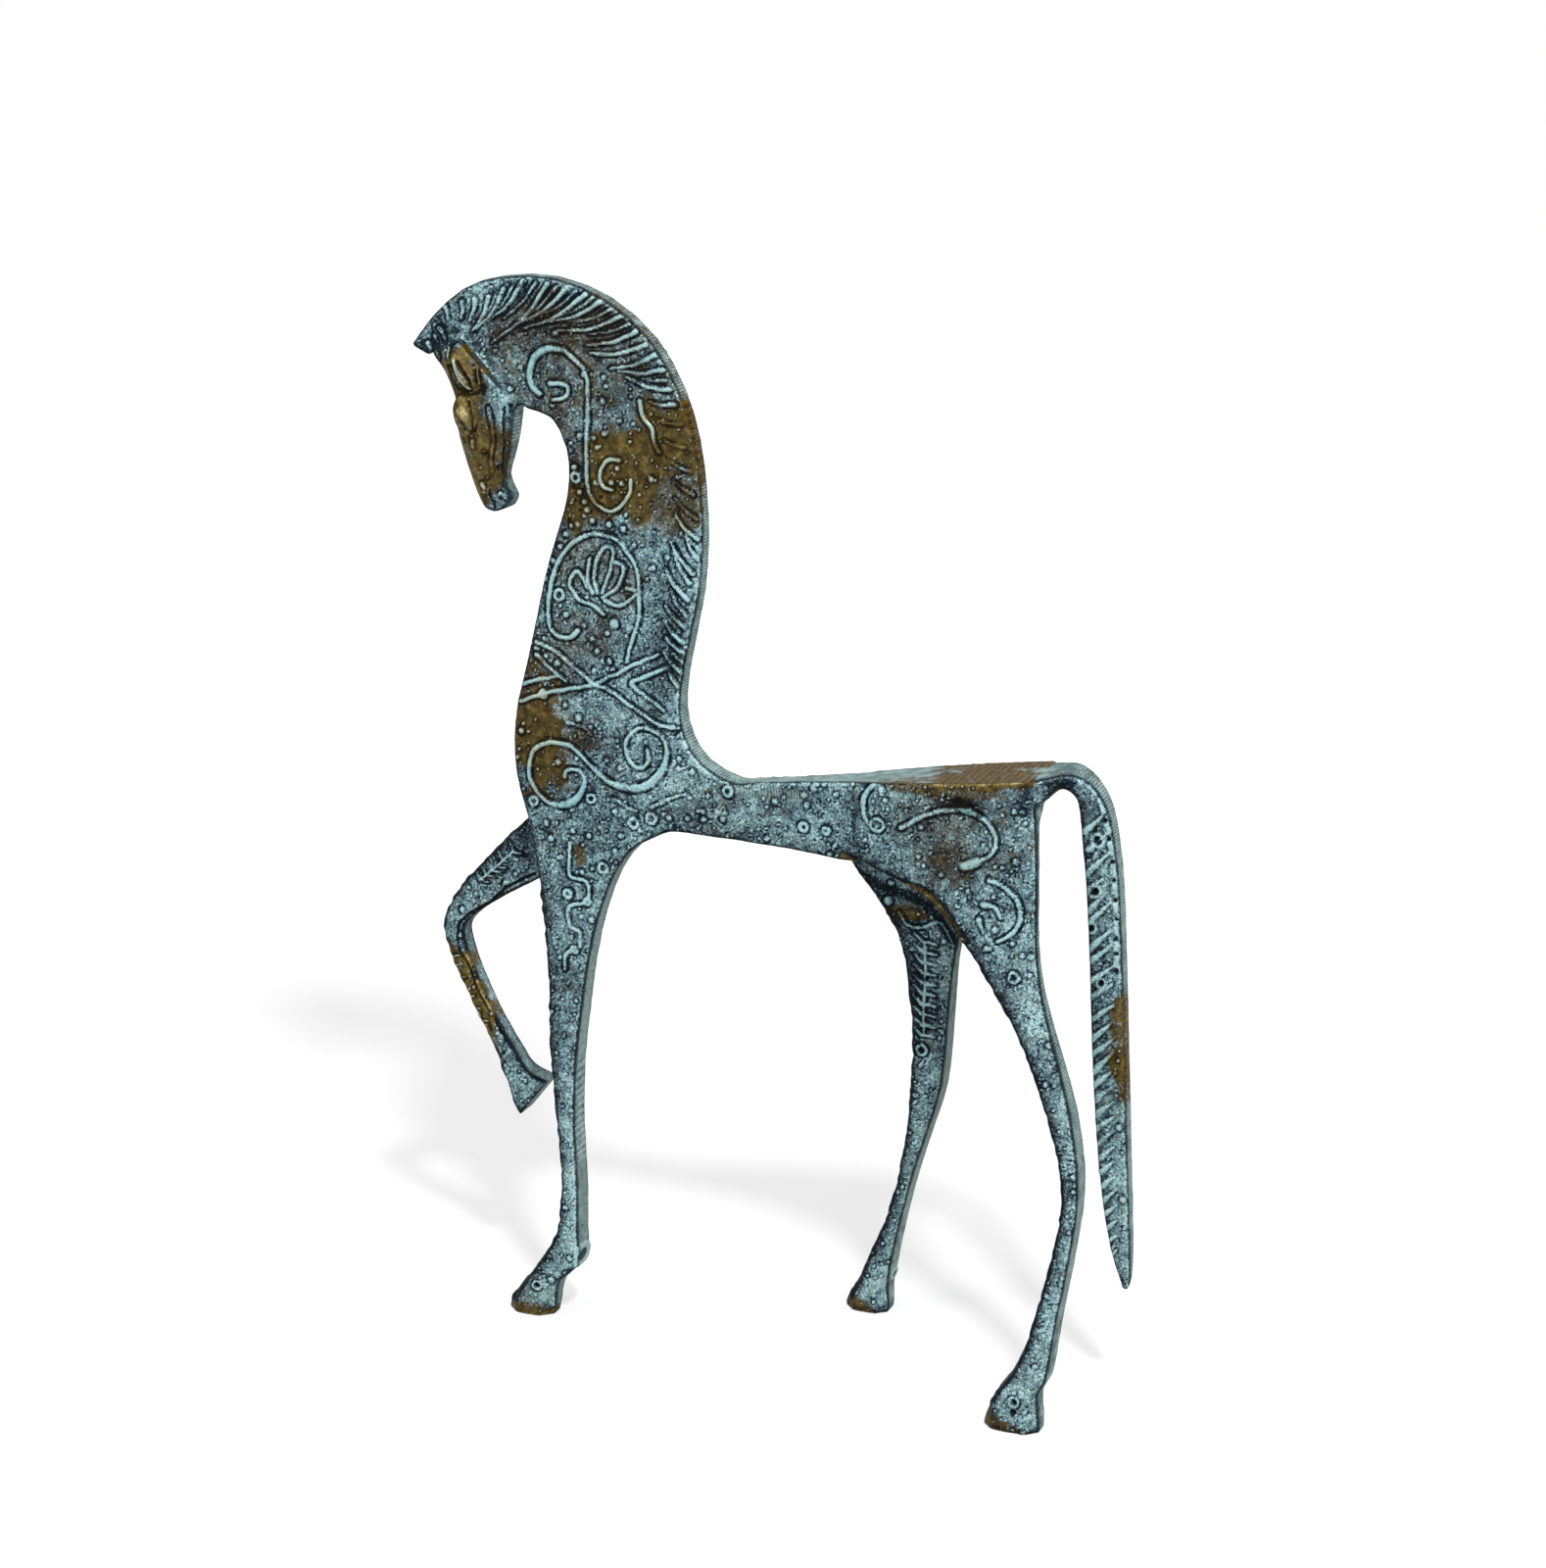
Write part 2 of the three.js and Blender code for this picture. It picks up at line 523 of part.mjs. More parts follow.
// A convex outline in plan, as [x, y], carried up from fromZ to toZ
function planBlock(outline, fromZ, toZ) {
  return solidOf(skin([fromZ, toZ].map((z) => outline.map(([x, y]) => new THREE.Vector3(x, y, z)))));
}

const beyond = 3 * withersHeight; // past every surface of the horse

function boxBlock([x0, y0, z0], [x1, y1, z1]) {
  return planBlock([[x0, y0], [x1, y0], [x1, y1], [x0, y1]], z0, z1);
}

function rod(radius, from, to) {
  const start = new THREE.Vector3(...from);
  const end = new THREE.Vector3(...to);
  const geometry = new THREE.CylinderGeometry(radius, radius, start.distanceTo(end), pinSides);
  const along = end.clone().sub(start).normalize();
  const turn = new THREE.Quaternion().setFromUnitVectors(new THREE.Vector3(0, 1, 0), along);
  geometry.applyQuaternion(turn);
  geometry.translate(...start.add(end).multiplyScalar(0.5));
  return solidOf(geometry);
}

// A pin between two points, and the hole that holds it, longer and wider by the clearance
function pinAndHole(radius, from, to) {
  const start = new THREE.Vector3(...from);
  const end = new THREE.Vector3(...to);
  const spare = end.clone().sub(start).setLength(pinClearance);
  const holeStart = start.clone().sub(spare);
  const holeEnd = end.clone().add(spare);
  return {
    pin: rod(radius, from, to),
    hole: rod(radius + pinClearance, holeStart.toArray(), holeEnd.toArray()),
  };
}

// The point at share u across a limb and t ribs down it, in the side view
function acrossLimb(ribs, t, u) {
  const i = Math.min(Math.floor(t), ribs.length - 2);
  const next = ribs[Math.min(i + 2, ribs.length - 1)];
  const { front, back } = smoothRib([ribs[Math.max(i - 1, 0)], ribs[i], ribs[i + 1], next], t - i);
  return [THREE.MathUtils.lerp(front.x, back.x, u), THREE.MathUtils.lerp(front.z, back.z, u)];
}

// Places down a limb, evenly spaced along the line at share u
function paces(ribs, { from, to, pitch }, u) {
  const probe = 0.05;
  const found = [];
  for (let t = from; t < to;) {
    found.push(t);
    const [x0, z0] = acrossLimb(ribs, t, u);
    const [x1, z1] = acrossLimb(ribs, t + probe, u);
    t += (probe * pitch) / Math.hypot(x1 - x0, z1 - z0);
  }
  return found;
}

function turnPoint([x, z], radius, degrees) {
  const angle = THREE.MathUtils.degToRad(degrees);
  return [x + radius * Math.cos(angle), z + radius * Math.sin(angle)];
}

function arc({ at, from: [startRadius, startAngle], to: [endRadius, endAngle], ease }, place) {
  const steps = Math.ceil(Math.abs(endAngle - startAngle) / arcStep);
  const line = [];
  for (let i = 0; i <= steps; i += 1) {
    const t = i / steps;
    const radius = THREE.MathUtils.lerp(startRadius, endRadius, t ** ease);
    line.push(turnPoint(place(at), radius, THREE.MathUtils.lerp(startAngle, endAngle, t)));
  }
  return line;
}

// A stroke from one point to another that bows to its left by a share of its length
function bowed([x0, z0], [x1, z1], bow) {
  const middle = [(x0 + x1) / 2 - (z1 - z0) * bow, (z0 + z1) / 2 + (x1 - x0) * bow];
  return [[x0, z0], middle, [x1, z1]];
}

function archLine(outside) {
  const [x, z] = fromWithers(arch.at);
  const wide = arch.wide + outside;
  const tall = arch.tall + outside;
  return (degrees) => {
    const [across, up] = turnPoint([0, 0], 1, degrees);
    return [x + wide * across, z + tall * up];
  };
}

function archRidge() {
  const steps = Math.ceil(Math.abs(arch.to - arch.from) / arcStep);
  const spot = archLine(0);
  return Array.from({ length: steps + 1 }, (_, i) => {
    return spot(THREE.MathUtils.lerp(arch.from, arch.to, i / steps));
  });
}

function beadSpots() {
  const spot = archLine(beads.outside);
  const overArch = Array.from({ length: beads.count }, (_, i) => {
    return spot(THREE.MathUtils.lerp(beads.from, beads.to, i / (beads.count - 1)));
  });
  const start = new THREE.Vector2(...fromWithers(beadRow.from));
  const end = new THREE.Vector2(...fromWithers(beadRow.to));
  const alongTrunk = Array.from({ length: beadRow.count }, (_, i) => {
    return start.clone().lerp(end, i / (beadRow.count - 1)).toArray();
  });
  return [...overArch, ...alongTrunk];
}

// Each petal is two bowed strokes from the palmette's foot to the petal's tip
function petalLines() {
  const foot = fromWithers(palmette.at);
  const lines = [];
  for (let i = 0; i < palmette.petals; i += 1) {
    const t = i / (palmette.petals - 1);
    const long = THREE.MathUtils.lerp(palmette.short, palmette.long, 4 * t * (1 - t));
    const tip = turnPoint(foot, long, THREE.MathUtils.lerp(palmette.from, palmette.to, t));
    const start = turnPoint(foot, relief.wide, THREE.MathUtils.lerp(palmette.from, palmette.to, t));
    lines.push(bowed(start, tip, palmette.plump), bowed(start, tip, -palmette.plump));
  }
  return lines;
}

// The mane's strands, run from the crest where both ribs beside them carry strands
function strandLines(ribs) {
  const table = Object.values(neckRibs);
  const lines = [];
  for (let i = 0; i + 1 < table.length; i += 1) {
    const [here, next] = [table[i], table[i + 1]];
    if (here.strand && next.strand) {
      for (const t of paces(ribs, { from: i, to: i + 1, pitch: strandPitch }, 1)) {
        const long = THREE.MathUtils.lerp(here.strand, next.strand, t - i);
        const lean = THREE.MathUtils.lerp(here.lean, next.lean, t - i);
        const crest = acrossLimb(ribs, t, 1);
        lines.push([strandInset, strandInset + long].map((reach) => turnPoint(crest, reach, lean)));
      }
    }
  }
  return lines;
}

// Strokes across a limb, repeated down it
function strokes(ribs, { across: [u0, u1], climb, ...run }) {
  return paces(ribs, run, (u0 + u1) / 2).map((t) => {
    const [x, z] = acrossLimb(ribs, t, u1);
    return [acrossLimb(ribs, t, u0), [x, z + climb]];
  });
}

// Where a line across the horse, coming from one side, first meets a solid
function seatOn(solid, side) {
  const mesh = new THREE.Mesh(geometryOf(solid), new THREE.MeshStandardMaterial());
  const caster = new THREE.Raycaster();
  const inwards = new THREE.Vector3(0, -side, 0);
  return (x, z) => {
    caster.set(new THREE.Vector3(x, side * beyond, z), inwards);
    return caster.intersectObject(mesh)[0]?.point;
  };
}

// The three points round a relief line at one place, or none where its seat is missing or too steep
function ridgeRing(line, i, seat, side) {
  const [x0, z0] = line[Math.max(i - 1, 0)];
  const [x1, z1] = line[Math.min(i + 1, line.length - 1)];
  const [x, z] = line[i];
  const scale = i === 0 || i === line.length - 1 ? relief.endScale : 1;
  const across = new THREE.Vector2(z0 - z1, x1 - x0).setLength((scale * relief.wide) / 2);
  const left = seat(x + across.x, z + across.y);
  const right = seat(x - across.x, z - across.y);
  if (!left || !right || Math.abs(left.y - right.y) > reliefSteepest) {
    return null;
  }
  const sunk = new THREE.Vector3(0, -side * relief.sunk, 0);
  const raised = new THREE.Vector3(0, side * relief.high * scale, 0);
  const crest = left.clone().lerp(right, 0.5).add(raised);
  return [left.add(sunk), crest, right.add(sunk)];
}

// The solids of one relief line, broken where its seat is
function ridges(line, seat, side) {
  const runs = [[]];
  for (let i = 0; i < line.length; i += 1) {
    const ring = ridgeRing(line, i, seat, side);
    if (ring) {
      runs.at(-1).push(ring);
    } else {
      runs.push([]);
    }
  }
  return runs.filter((run) => run.length > 1).map((run) => solidOf(skin(run)));
}

function raisedRing([x, z, radius], seat) {
  const middle = seat(x, z);
  const geometry = new THREE.TorusGeometry(radius, ringTube, 4, 8);
  geometry.rotateX(Math.PI / 2);
  return middle ? [solidOf(geometry.translate(...middle))] : [];
}

function bead([x, z], seat) {
  const middle = seat(x, z);
  const geometry = new THREE.SphereGeometry(beads.radius, 5, 4);
  return middle ? [solidOf(geometry.translate(...middle))] : [];
}

// A solid with its ornament raised on the given sides
function ornamented(solid, sides, { lines, ringSpots = [], beadPlaces = [] }) {
  const raised = sides.flatMap((side) => {
    const seat = seatOn(solid, side);
    return [
      ...lines.flatMap((line) => ridges(line, seat, side)),
      ...ringSpots.flatMap((ring) => raisedRing(ring, seat)),
      ...beadPlaces.flatMap((place) => bead(place, seat)),
    ];
  });
  return wasm.Manifold.union([solid, ...raised]);
}

function ringsFrom(list, place) {
  return list.map(([x, height, radius]) => [...place([x, height]), radius]);
}

const bronze = { patina: 0x8fb8b4, dark: 0x6d8792, rubbed: 0x6e5426, pin: 0x9c7a3a };

function geometryOf(solid) {
  const { vertProperties, triVerts } = solid.getMesh();
  const geometry = new THREE.BufferGeometry();
  geometry.setAttribute("position", new THREE.BufferAttribute(vertProperties, 3));
  geometry.setIndex(new THREE.BufferAttribute(triVerts, 1));
  geometry.computeVertexNormals();
  return geometry;
}

function casting(name, solid, color) {
  const material = new THREE.MeshStandardMaterial({ color, roughness: 0.62, metalness: 0.75 });
  const mesh = new THREE.Mesh(geometryOf(solid), material);
  mesh.name = name;
  return mesh;
}

// The filed line of the back, as a block that takes away everything above it
function aboveBack() {
  const outline = [
    [-beyond, backHeight(-beyond)],
    [beyond, backHeight(beyond)],
    [beyond, backHeight(beyond) + beyond],
    [-beyond, backHeight(beyond) + beyond],
  ];
  return sideBlock(outline, -beyond, beyond);
}

const [notchFront, notchTop, notchThroat] = [notch.front, notch.top, notch.throat].map(fromWithers);

// The seat of the head in the neck, lowered by drop for the head itself
function headSocket(drop) {
  const socketFloor = fromWithers(headRibs.chin.brow)[1] - underChin;
  const outline = [
    [notchFront[0], notchFront[1] - drop],
    [notchTop[0], notchTop[1] - drop],
    [notchThroat[0], notchThroat[1] - drop],
    [notchThroat[0], socketFloor],
    [notchFront[0], socketFloor],
  ];
  return sideBlock(outline, -beyond, beyond);
}

// Pins

const throatSlope = new THREE.Vector2(notchThroat[0] - notchTop[0], notchThroat[1] - notchTop[1]);
const acrossNotch = new THREE.Vector2(-throatSlope.y, throatSlope.x).normalize();
const seatMiddle = [(notchTop[0] + notchThroat[0]) / 2, (notchTop[1] + notchThroat[1]) / 2];

function headPinPoint(distance) {
  return [
    seatMiddle[0] + acrossNotch.x * distance,
    0,
    seatMiddle[1] + acrossNotch.y * distance,
  ];
}

const elbow = standingForeRibs.elbow;
const elbowX = (elbow.front + elbow.back) / 2;
const elbowY = near * elbow.middle;
const elbowZ = elbow.rise * withersHeight;

function haunchPin({ radius, along, below, reach }) {
  const x = along * backLength;
  const z = backHeight(x) - below;
  return pinAndHole(radius, [x, -reach, z], [x, reach, z]);
}

const [raisedPinX, raisedPinZ] = fromWithers(raisedForePin.at);
const tailRootX = fromCroup(tailRibs.root.outer)[0];
const tailPinZ = croupHeight - tailPin.below;

const pins = {
  head: pinAndHole(headPin.radius, headPinPoint(-headPin.reach), headPinPoint(headPin.reach)),
  standingFore: pinAndHole(
    standingForePin.radius,
    [elbowX, elbowY, elbowZ - standingForePin.reach],
    [elbowX, elbowY, elbowZ + standingForePin.reach],
  ),
  raisedFore: pinAndHole(
    raisedForePin.radius,
    [raisedPinX, -far * raisedForePin.inChest, raisedPinZ],
    [raisedPinX, far * raisedForePin.inLeg, raisedPinZ],
  ),
  frontHaunch: haunchPin(frontHaunchPin),
  rearHaunch: haunchPin(rearHaunchPin),
  tail: pinAndHole(
    tailPin.radius,
    [tailRootX - tailPin.inCroup, 0, tailPinZ],
    [tailRootX + tailPin.inTail, 0, tailPinZ],
  ),
};

// The neck, chest and trunk in one casting

const neckPlateRibs = Object.values(neckRibs).map(({ front, crest, thick }) => {
  return platedRib(fromWithers(front), fromWithers(crest), thick, neckCrown);
});

function trunkBar() {
  const ribs = Object.values(trunkRibs).map(({ along, depth, topHalf, bellyHalf }) => {
    const x = along * backLength;
    return {
      front: edge(x, backHeight(x) - depth, -bellyHalf, bellyHalf),
      back: edge(x, backHeight(x) + trunkOverTop, -topHalf, topHalf),
      crown: 0,
      innerCrown: 0,
      round: edgeRadius,
      faceSteps: 1,
    };
  });
  return loft(ribs, near).subtract(aboveBack());
}

const standingForeLimbRibs = Object.values(standingForeRibs).map((rib) => {
  const z = rib.rise * withersHeight;
  return limbRib([rib.front, z], [rib.back, z], rib.middle, rib.deep, rib.round);
});

const tongueStartX = tongueStart * backLength;
const tongueEndX = tongueEnd * backLength;

// What lies beside the tongue behind the trunk, on one side
function besideTongue(side) {
  const outline = [
    [tongueStartX, side * tongueRootHalf],
    [tongueEndX, side * tongueTipHalf],
    [tongueEndX, side * beyond],
    [tongueStartX, side * beyond],
  ];
  return planBlock(outline, 0, beyond);
}

function trunkCasting() {
  const shoulder = loft(standingForeLimbRibs, near).subtract(belowElbow(seamGap / 2));
  let solid = loft(neckPlateRibs, near).subtract(headSocket(0));
  solid = solid.add(trunkBar()).add(shoulder);
  solid = solid.subtract(besideTongue(near)).subtract(besideTongue(far));
  solid = solid.subtract(boxBlock([tongueEndX, -beyond, 0], [beyond, beyond, beyond]));
  const { left, stem, right } = chestScroll;
  const bothSides = [
    ...strandLines(neckPlateRibs),
    [...arc(neckScroll.top, fromWithers).reverse(), ...arc(neckScroll.foot, fromWithers)],
    [...arc(left, fromWithers).reverse(), ...arc(stem, fromWithers), ...arc(right, fromWithers)],
    archRidge(),
    ...bands.map((line) => line.map(fromWithers)),
  ];
  const plainLines = [neckVein, palmetteFoot, meander.above].map((line) => line.map(fromWithers));
  const nearSide = {
    lines: [...petalLines(), ...plainLines],
    ringSpots: ringsFrom(rings, fromWithers),
    beadPlaces: beadSpots(),
  };
  solid = ornamented(ornamented(solid, [near, far], { lines: bothSides }), [near], nearSide);
  solid = solid.subtract(raisedSeat());
  for (const { hole } of [pins.head, pins.standingFore, pins.raisedFore, pins.frontHaunch]) {
    solid = solid.subtract(hole);
  }
  return solid;
}

function belowElbow(lift) {
  return boxBlock([-beyond, -beyond, -beyond], [beyond, beyond, elbowZ + lift]);
}

function aboveElbow(drop) {
  return boxBlock([-beyond, -beyond, elbowZ - drop], [beyond, beyond, beyond]);
}

// The flat on the far side of the chest that the raised foreleg laps on
function raisedSeat() {
  const spare = 3 * edgeRadius;
  const [, top] = fromWithers(raisedForeRibs.root.front);
  return boxBlock(
    [-beyond, raisedSeatHalf, elbowZ],
    [raisedForeRibs.root.back[0] + spare, beyond, top + spare],
  );
}

// A leaf-shaped swelling, or the tool that cuts one, on one side of the head
function leaf({ at, long, wide, thick, tilt, out }, side) {
  const [x, z] = fromWithers(at);
  const geometry = new THREE.SphereGeometry(1, 10, 6);
  geometry.scale(wide, thick, long);
  geometry.rotateY(-THREE.MathUtils.degToRad(tilt));
  geometry.translate(x, side * out, z);
  return solidOf(geometry);
}

function headRib({ brow, jaw, browDeep, jawDeep }) {
  return {
    front: edge(...fromWithers(brow), -browDeep / 2, browDeep / 2),
    back: edge(...fromWithers(jaw), -jawDeep / 2, jawDeep / 2),
    crown: headCrown,
    innerCrown: headCrown,
    round: headRound,
    faceSteps: 3,
  };
}

function head() {
  let solid = loft(Object.values(headRibs).map(headRib), near);
  for (const side of [near, far]) {
    for (const raised of [earLeaf, browLeaf, cheekLeaf]) {
      solid = solid.add(leaf(raised, side));
    }
    for (const cut of [earSlit, eyeSlit, nostrilPit]) {
      solid = solid.subtract(leaf(cut, side));
    }
  }
  const seat = headSocket(seamGap / Math.SQRT1_2);
  return solid.intersect(seat).subtract(pins.head.hole);
}

// The drill that makes the pit in a hoof's outer face, at a height up the limb
function hoofDrill(ribs, z, side) {
  const rib = ribs.findLast((one) => one.front.z > z);
  const x = THREE.MathUtils.lerp(rib.front.x, rib.back.x, hoofPit.across);
  const floor = rib.front.outer - hoofPit.deep;
  return rod(hoofPit.radius, [x, side * floor, z], [x, side * beyond, z]);
}

function standingForeleg() {
  const drill = hoofDrill(standingForeLimbRibs, foreHoofPitRise * withersHeight, near);
  let solid = loft(standingForeLimbRibs, near).subtract(aboveElbow(seamGap / 2));
  solid = solid.subtract(pins.standingFore.hole).subtract(drill);
  return ornamented(solid, [near], { lines: [meander.below.map(fromWithers)] });
}

function raisedForeleg() {
  const ribs = Object.values(raisedForeRibs).map(({ front, back, middle, deep }) => {
    return limbRib(fromWithers(front), fromWithers(back), middle, deep);
  });
  const chest = boxBlock([-beyond, -beyond, 0], [beyond, raisedSeatHalf + seamGap, beyond]);
  const solid = loft(ribs, far).subtract(chest).subtract(pins.raisedFore.hole);
  return ornamented(solid, [near], { lines: [...strokes(ribs, armLeaves), ...strokes(ribs, shinTicks)] });
}

function hindLeg(table, side) {
  const ribs = Object.values(table).map(haunchRib);
  const leg = loft(ribs, side);
  const trunkFloor = backHeight(tongueStartX) - trunkRibs.flank.depth - seamGap;
  const trunk = boxBlock([-beyond, -beyond, trunkFloor], [tongueStartX + seamGap, beyond, beyond]);
  const tongue = planBlock(
    [
      [tongueStartX - 1, -tongueRootHalf - seamGap],
      [tongueEndX + seamGap, -tongueTipHalf - seamGap],
      [tongueEndX + seamGap, tongueTipHalf + seamGap],
      [tongueStartX - 1, tongueRootHalf + seamGap],
    ],
    trunkFloor,
    beyond,
  );
  const otherSide = side === near
    ? boxBlock([-beyond, -seamGap / 2, 0], [beyond, beyond, beyond])
    : boxBlock([-beyond, -beyond, 0], [beyond, seamGap / 2, beyond]);
  const tailSeat = boxBlock(
    [tailRootX - seamGap, -beyond, croupHeight - tailSeatDepth],
    [beyond, beyond, beyond],
  );
  let solid = leg.subtract(aboveBack()).subtract(trunk).subtract(tongue);
  solid = solid.subtract(otherSide).subtract(tailSeat);
  for (const { hole } of [pins.frontHaunch, pins.rearHaunch, pins.tail]) {
    solid = solid.subtract(hole);
  }
  const lines = Object.values(haunchLines).map((line) => arc(line, fromCroup));
  solid = ornamented(solid, [side], { lines, ringSpots: ringsFrom(haunchRings, fromCroup) });
  return { ribs, solid };
}

function nearHindLeg() {
  const { ribs, solid } = hindLeg(nearHindRibs, near);
  return solid.subtract(hoofDrill(ribs, hindHoofPitRise * croupHeight, near));
}

function farHindLeg() {
  const { ribs, solid } = hindLeg(farHindRibs, far);
  const side = ladder.across[0];
  const middleLine = paces(ribs, ladder, side).map((t) => acrossLimb(ribs, t, side));
  const lines = [middleLine, ...strokes(ribs, ladder), ...strokes(ribs, ladderLeaves)];
  return ornamented(solid, [near], { lines });
}

function tail() {
  const ribs = Object.values(tailRibs).map(({ outer, inner, deep }) => {
    return limbRib(fromCroup(outer), fromCroup(inner), 0, deep);
  });
  const solid = loft(ribs, near).subtract(pins.tail.hole);
  return ornamented(solid, [near, far], { lines: strokes(ribs, tailStrokes) });
}

const horse = new THREE.Group();
horse.name = "bronze_horse";
horse.add(
  casting("neck_and_trunk", trunkCasting(), bronze.patina),
  casting("head", head(), bronze.rubbed),
  casting("standing_foreleg", standingForeleg(), bronze.patina),
  casting("raised_foreleg", raisedForeleg(), bronze.dark),
  casting("near_hind_leg", nearHindLeg(), bronze.patina),
  casting("far_hind_leg", farHindLeg(), bronze.dark),
  casting("tail", tail(), bronze.patina),
  casting("head_pin", pins.head.pin, bronze.pin),
  casting("standing_foreleg_pin", pins.standingFore.pin, bronze.pin),
  casting("raised_foreleg_pin", pins.raisedFore.pin, bronze.pin),
  casting("front_haunch_pin", pins.frontHaunch.pin, bronze.pin),
  casting("rear_haunch_pin", pins.rearHaunch.pin, bronze.pin),
  casting("tail_pin", pins.tail.pin, bronze.pin),
);

const bounds = new THREE.Box3().setFromObject(horse, true);
const middle = bounds.getCenter(new THREE.Vector3());
horse.position.set(-middle.x, -middle.y, -bounds.min.z);

export default horse;
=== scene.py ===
"""A standing bronze horse in the archaic Greek manner, cast, patinated and rubbed bare in places."""

import math

import bmesh
import bpy
import numpy as np
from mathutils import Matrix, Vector
from mathutils.bvhtree import BVHTree


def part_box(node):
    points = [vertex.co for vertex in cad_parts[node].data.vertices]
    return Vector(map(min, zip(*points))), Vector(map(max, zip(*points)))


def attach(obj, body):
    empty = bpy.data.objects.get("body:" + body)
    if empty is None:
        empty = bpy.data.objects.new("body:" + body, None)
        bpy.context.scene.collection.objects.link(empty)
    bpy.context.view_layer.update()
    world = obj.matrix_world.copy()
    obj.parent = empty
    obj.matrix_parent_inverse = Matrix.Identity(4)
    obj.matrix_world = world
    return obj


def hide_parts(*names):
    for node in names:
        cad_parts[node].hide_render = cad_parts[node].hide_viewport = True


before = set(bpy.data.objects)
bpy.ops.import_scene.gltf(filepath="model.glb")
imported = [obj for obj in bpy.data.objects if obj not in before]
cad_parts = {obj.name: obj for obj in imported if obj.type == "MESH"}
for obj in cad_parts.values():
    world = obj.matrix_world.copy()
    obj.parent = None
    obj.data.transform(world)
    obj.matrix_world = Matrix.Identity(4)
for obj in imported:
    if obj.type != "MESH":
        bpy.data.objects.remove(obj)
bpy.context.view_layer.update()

# The camera stands where the photographer stood.

MM = 0.001
EYE = (373.79, -923.81, 466.9)
LOOKS_DOWN = 16  # degrees
LOOKS_LEFT = 22
LENS = 78.75
SENSOR = 36


def linked(name, data):
    """A new object in the scene."""
    made = bpy.data.objects.new(name, data)
    bpy.context.scene.collection.objects.link(made)
    return made


camera_data = bpy.data.cameras.new("camera")
camera_data.lens = LENS
camera_data.sensor_width = SENSOR
camera = linked("camera", camera_data)
camera.location = [length * MM for length in EYE]
camera.rotation_euler = (math.radians(90 - LOOKS_DOWN), 0, math.radians(LOOKS_LEFT))
bpy.context.scene.camera = camera

# Lengths below are in millimetres in the side view, [x, z], unless said otherwise. TABLE_X takes them
# to the frame's own middle.

TABLE_X = 0.59
NEAR = -1
FAR = 1

VOXEL = 0.56  # of the skin
CLOSING = 0.3  # how far the castings swell while the skin closes the seams between them
SEAM_REACH = 2.5  # how far past a solid's box its casting's skin may lie

CASTINGS = (
    "neck_and_trunk", "head", "standing_foreleg", "raised_foreleg", "near_hind_leg", "far_hind_leg", "tail",
)
LEGS = ("standing_foreleg", "raised_foreleg", "near_hind_leg", "far_hind_leg")

# Relief. A stroke is its points and then its width, height and the width of its far end as a share.
# A height below 0 is a cut.

BOLD = (2.1, 0.75, 0.5)
LINE = (1.6, 0.65, 0.8)
FINE = (1.15, 0.45, 0.7)
FAINT = (1.3, 0.28, 0.7)
HOLE_RIM = (0.8, 0.22, 1)
PETAL = (1.4, 0.65, 0.85)
STRAND = (1.75, 0.8, 0.42)
THIN_STRAND = (1.1, 0.4, 0.5)
WORN_STRAND = (1.3, 0.3, 0.5)
LEAF = (2.4, 0.75, 0.3)


def stroke(points, kind=LINE, swell=None, pale=1):
    """A swollen stroke is thicker around one place: how far along it, and by which share. Pale is how
    much of the pale patina it takes."""
    wide, high, end = kind
    return {"points": points, "wide": wide, "high": high, "end": end, "swell": swell, "pale": pale}


def ring(x, z, radius, kind=FINE):
    turns = [math.tau * i / 12 for i in range(13)]
    return stroke([(x + radius * math.cos(a), z + radius * math.sin(a)) for a in turns], kind[:2] + (1,))


def dot(x, z, wide=2, high=0.5):
    return stroke([(x, z), (x + 0.05, z)], (wide, high, 1))


def strand(x, z, long, degrees, kind=STRAND):
    """A strand of the mane, from the crest inwards, with a light bend."""
    a = math.radians(degrees)
    ux, uz = math.cos(a), math.sin(a)
    bow = STRAND_BOW * long
    return stroke([(x, z), (x + ux * long / 2 - uz * bow, z + uz * long / 2 + ux * bow),
                   (x + ux * long, z + uz * long)], kind, pale=STRAND_PALE)


def between(start, end, t):
    """The point that is a share of the way from one point to another."""
    return start[0] + t * (end[0] - start[0]), start[1] + t * (end[1] - start[1])


def mean_angle(*degrees):
    turns = [math.radians(one) for one in degrees]
    return math.degrees(math.atan2(sum(map(math.sin, turns)), sum(map(math.cos, turns))))


MANE = [
    (-104.5, 320.8, 3.9, -77), (-106.4, 313.9, 3.3, -61), (-110.5, 309.2, 3, -73), (-98.6, 322.3, 5, -95),
    (-94.4, 323.4, 7, -106), (-89.7, 324.2, 11.9, -118), (-84.7, 326.8, 15.2, -127),
    (-78.2, 329.5, 17.4, -134), (-70.1, 329, 26.4, -136), (-64, 328.2, 21, -146), (-58, 326.8, 23.4, -151),
    (-52.6, 325, 19, -158), (-45.7, 321.1, 22.3, -165), (-41.6, 316.6, 16.7, -163),
    (-38.5, 312.8, 18.5, -169), (-35.4, 310.1, 15.6, -162), (-33.2, 305.8, 14.3, -176),
    (-30.7, 299.9, 14.5, 168), (-29.2, 295.6, 8.2, 177),
    (-22.2, 255.8, 10, 137), (-22.3, 249.8, 8.2, 119), (-23.9, 245.2, 11.6, 127), (-24.9, 242.2, 11.3, 118),
    (-25.5, 237, 11.6, 129), (-26.2, 232.1, 8.6, 124), (-26.6, 228.5, 9, 135), (-27.6, 223.9, 8.8, 133),
    (-26, 220.1, 8.5, 146), (-27.3, 213.9, 9.1, 135), (-29, 210, 6.1, 121),
]
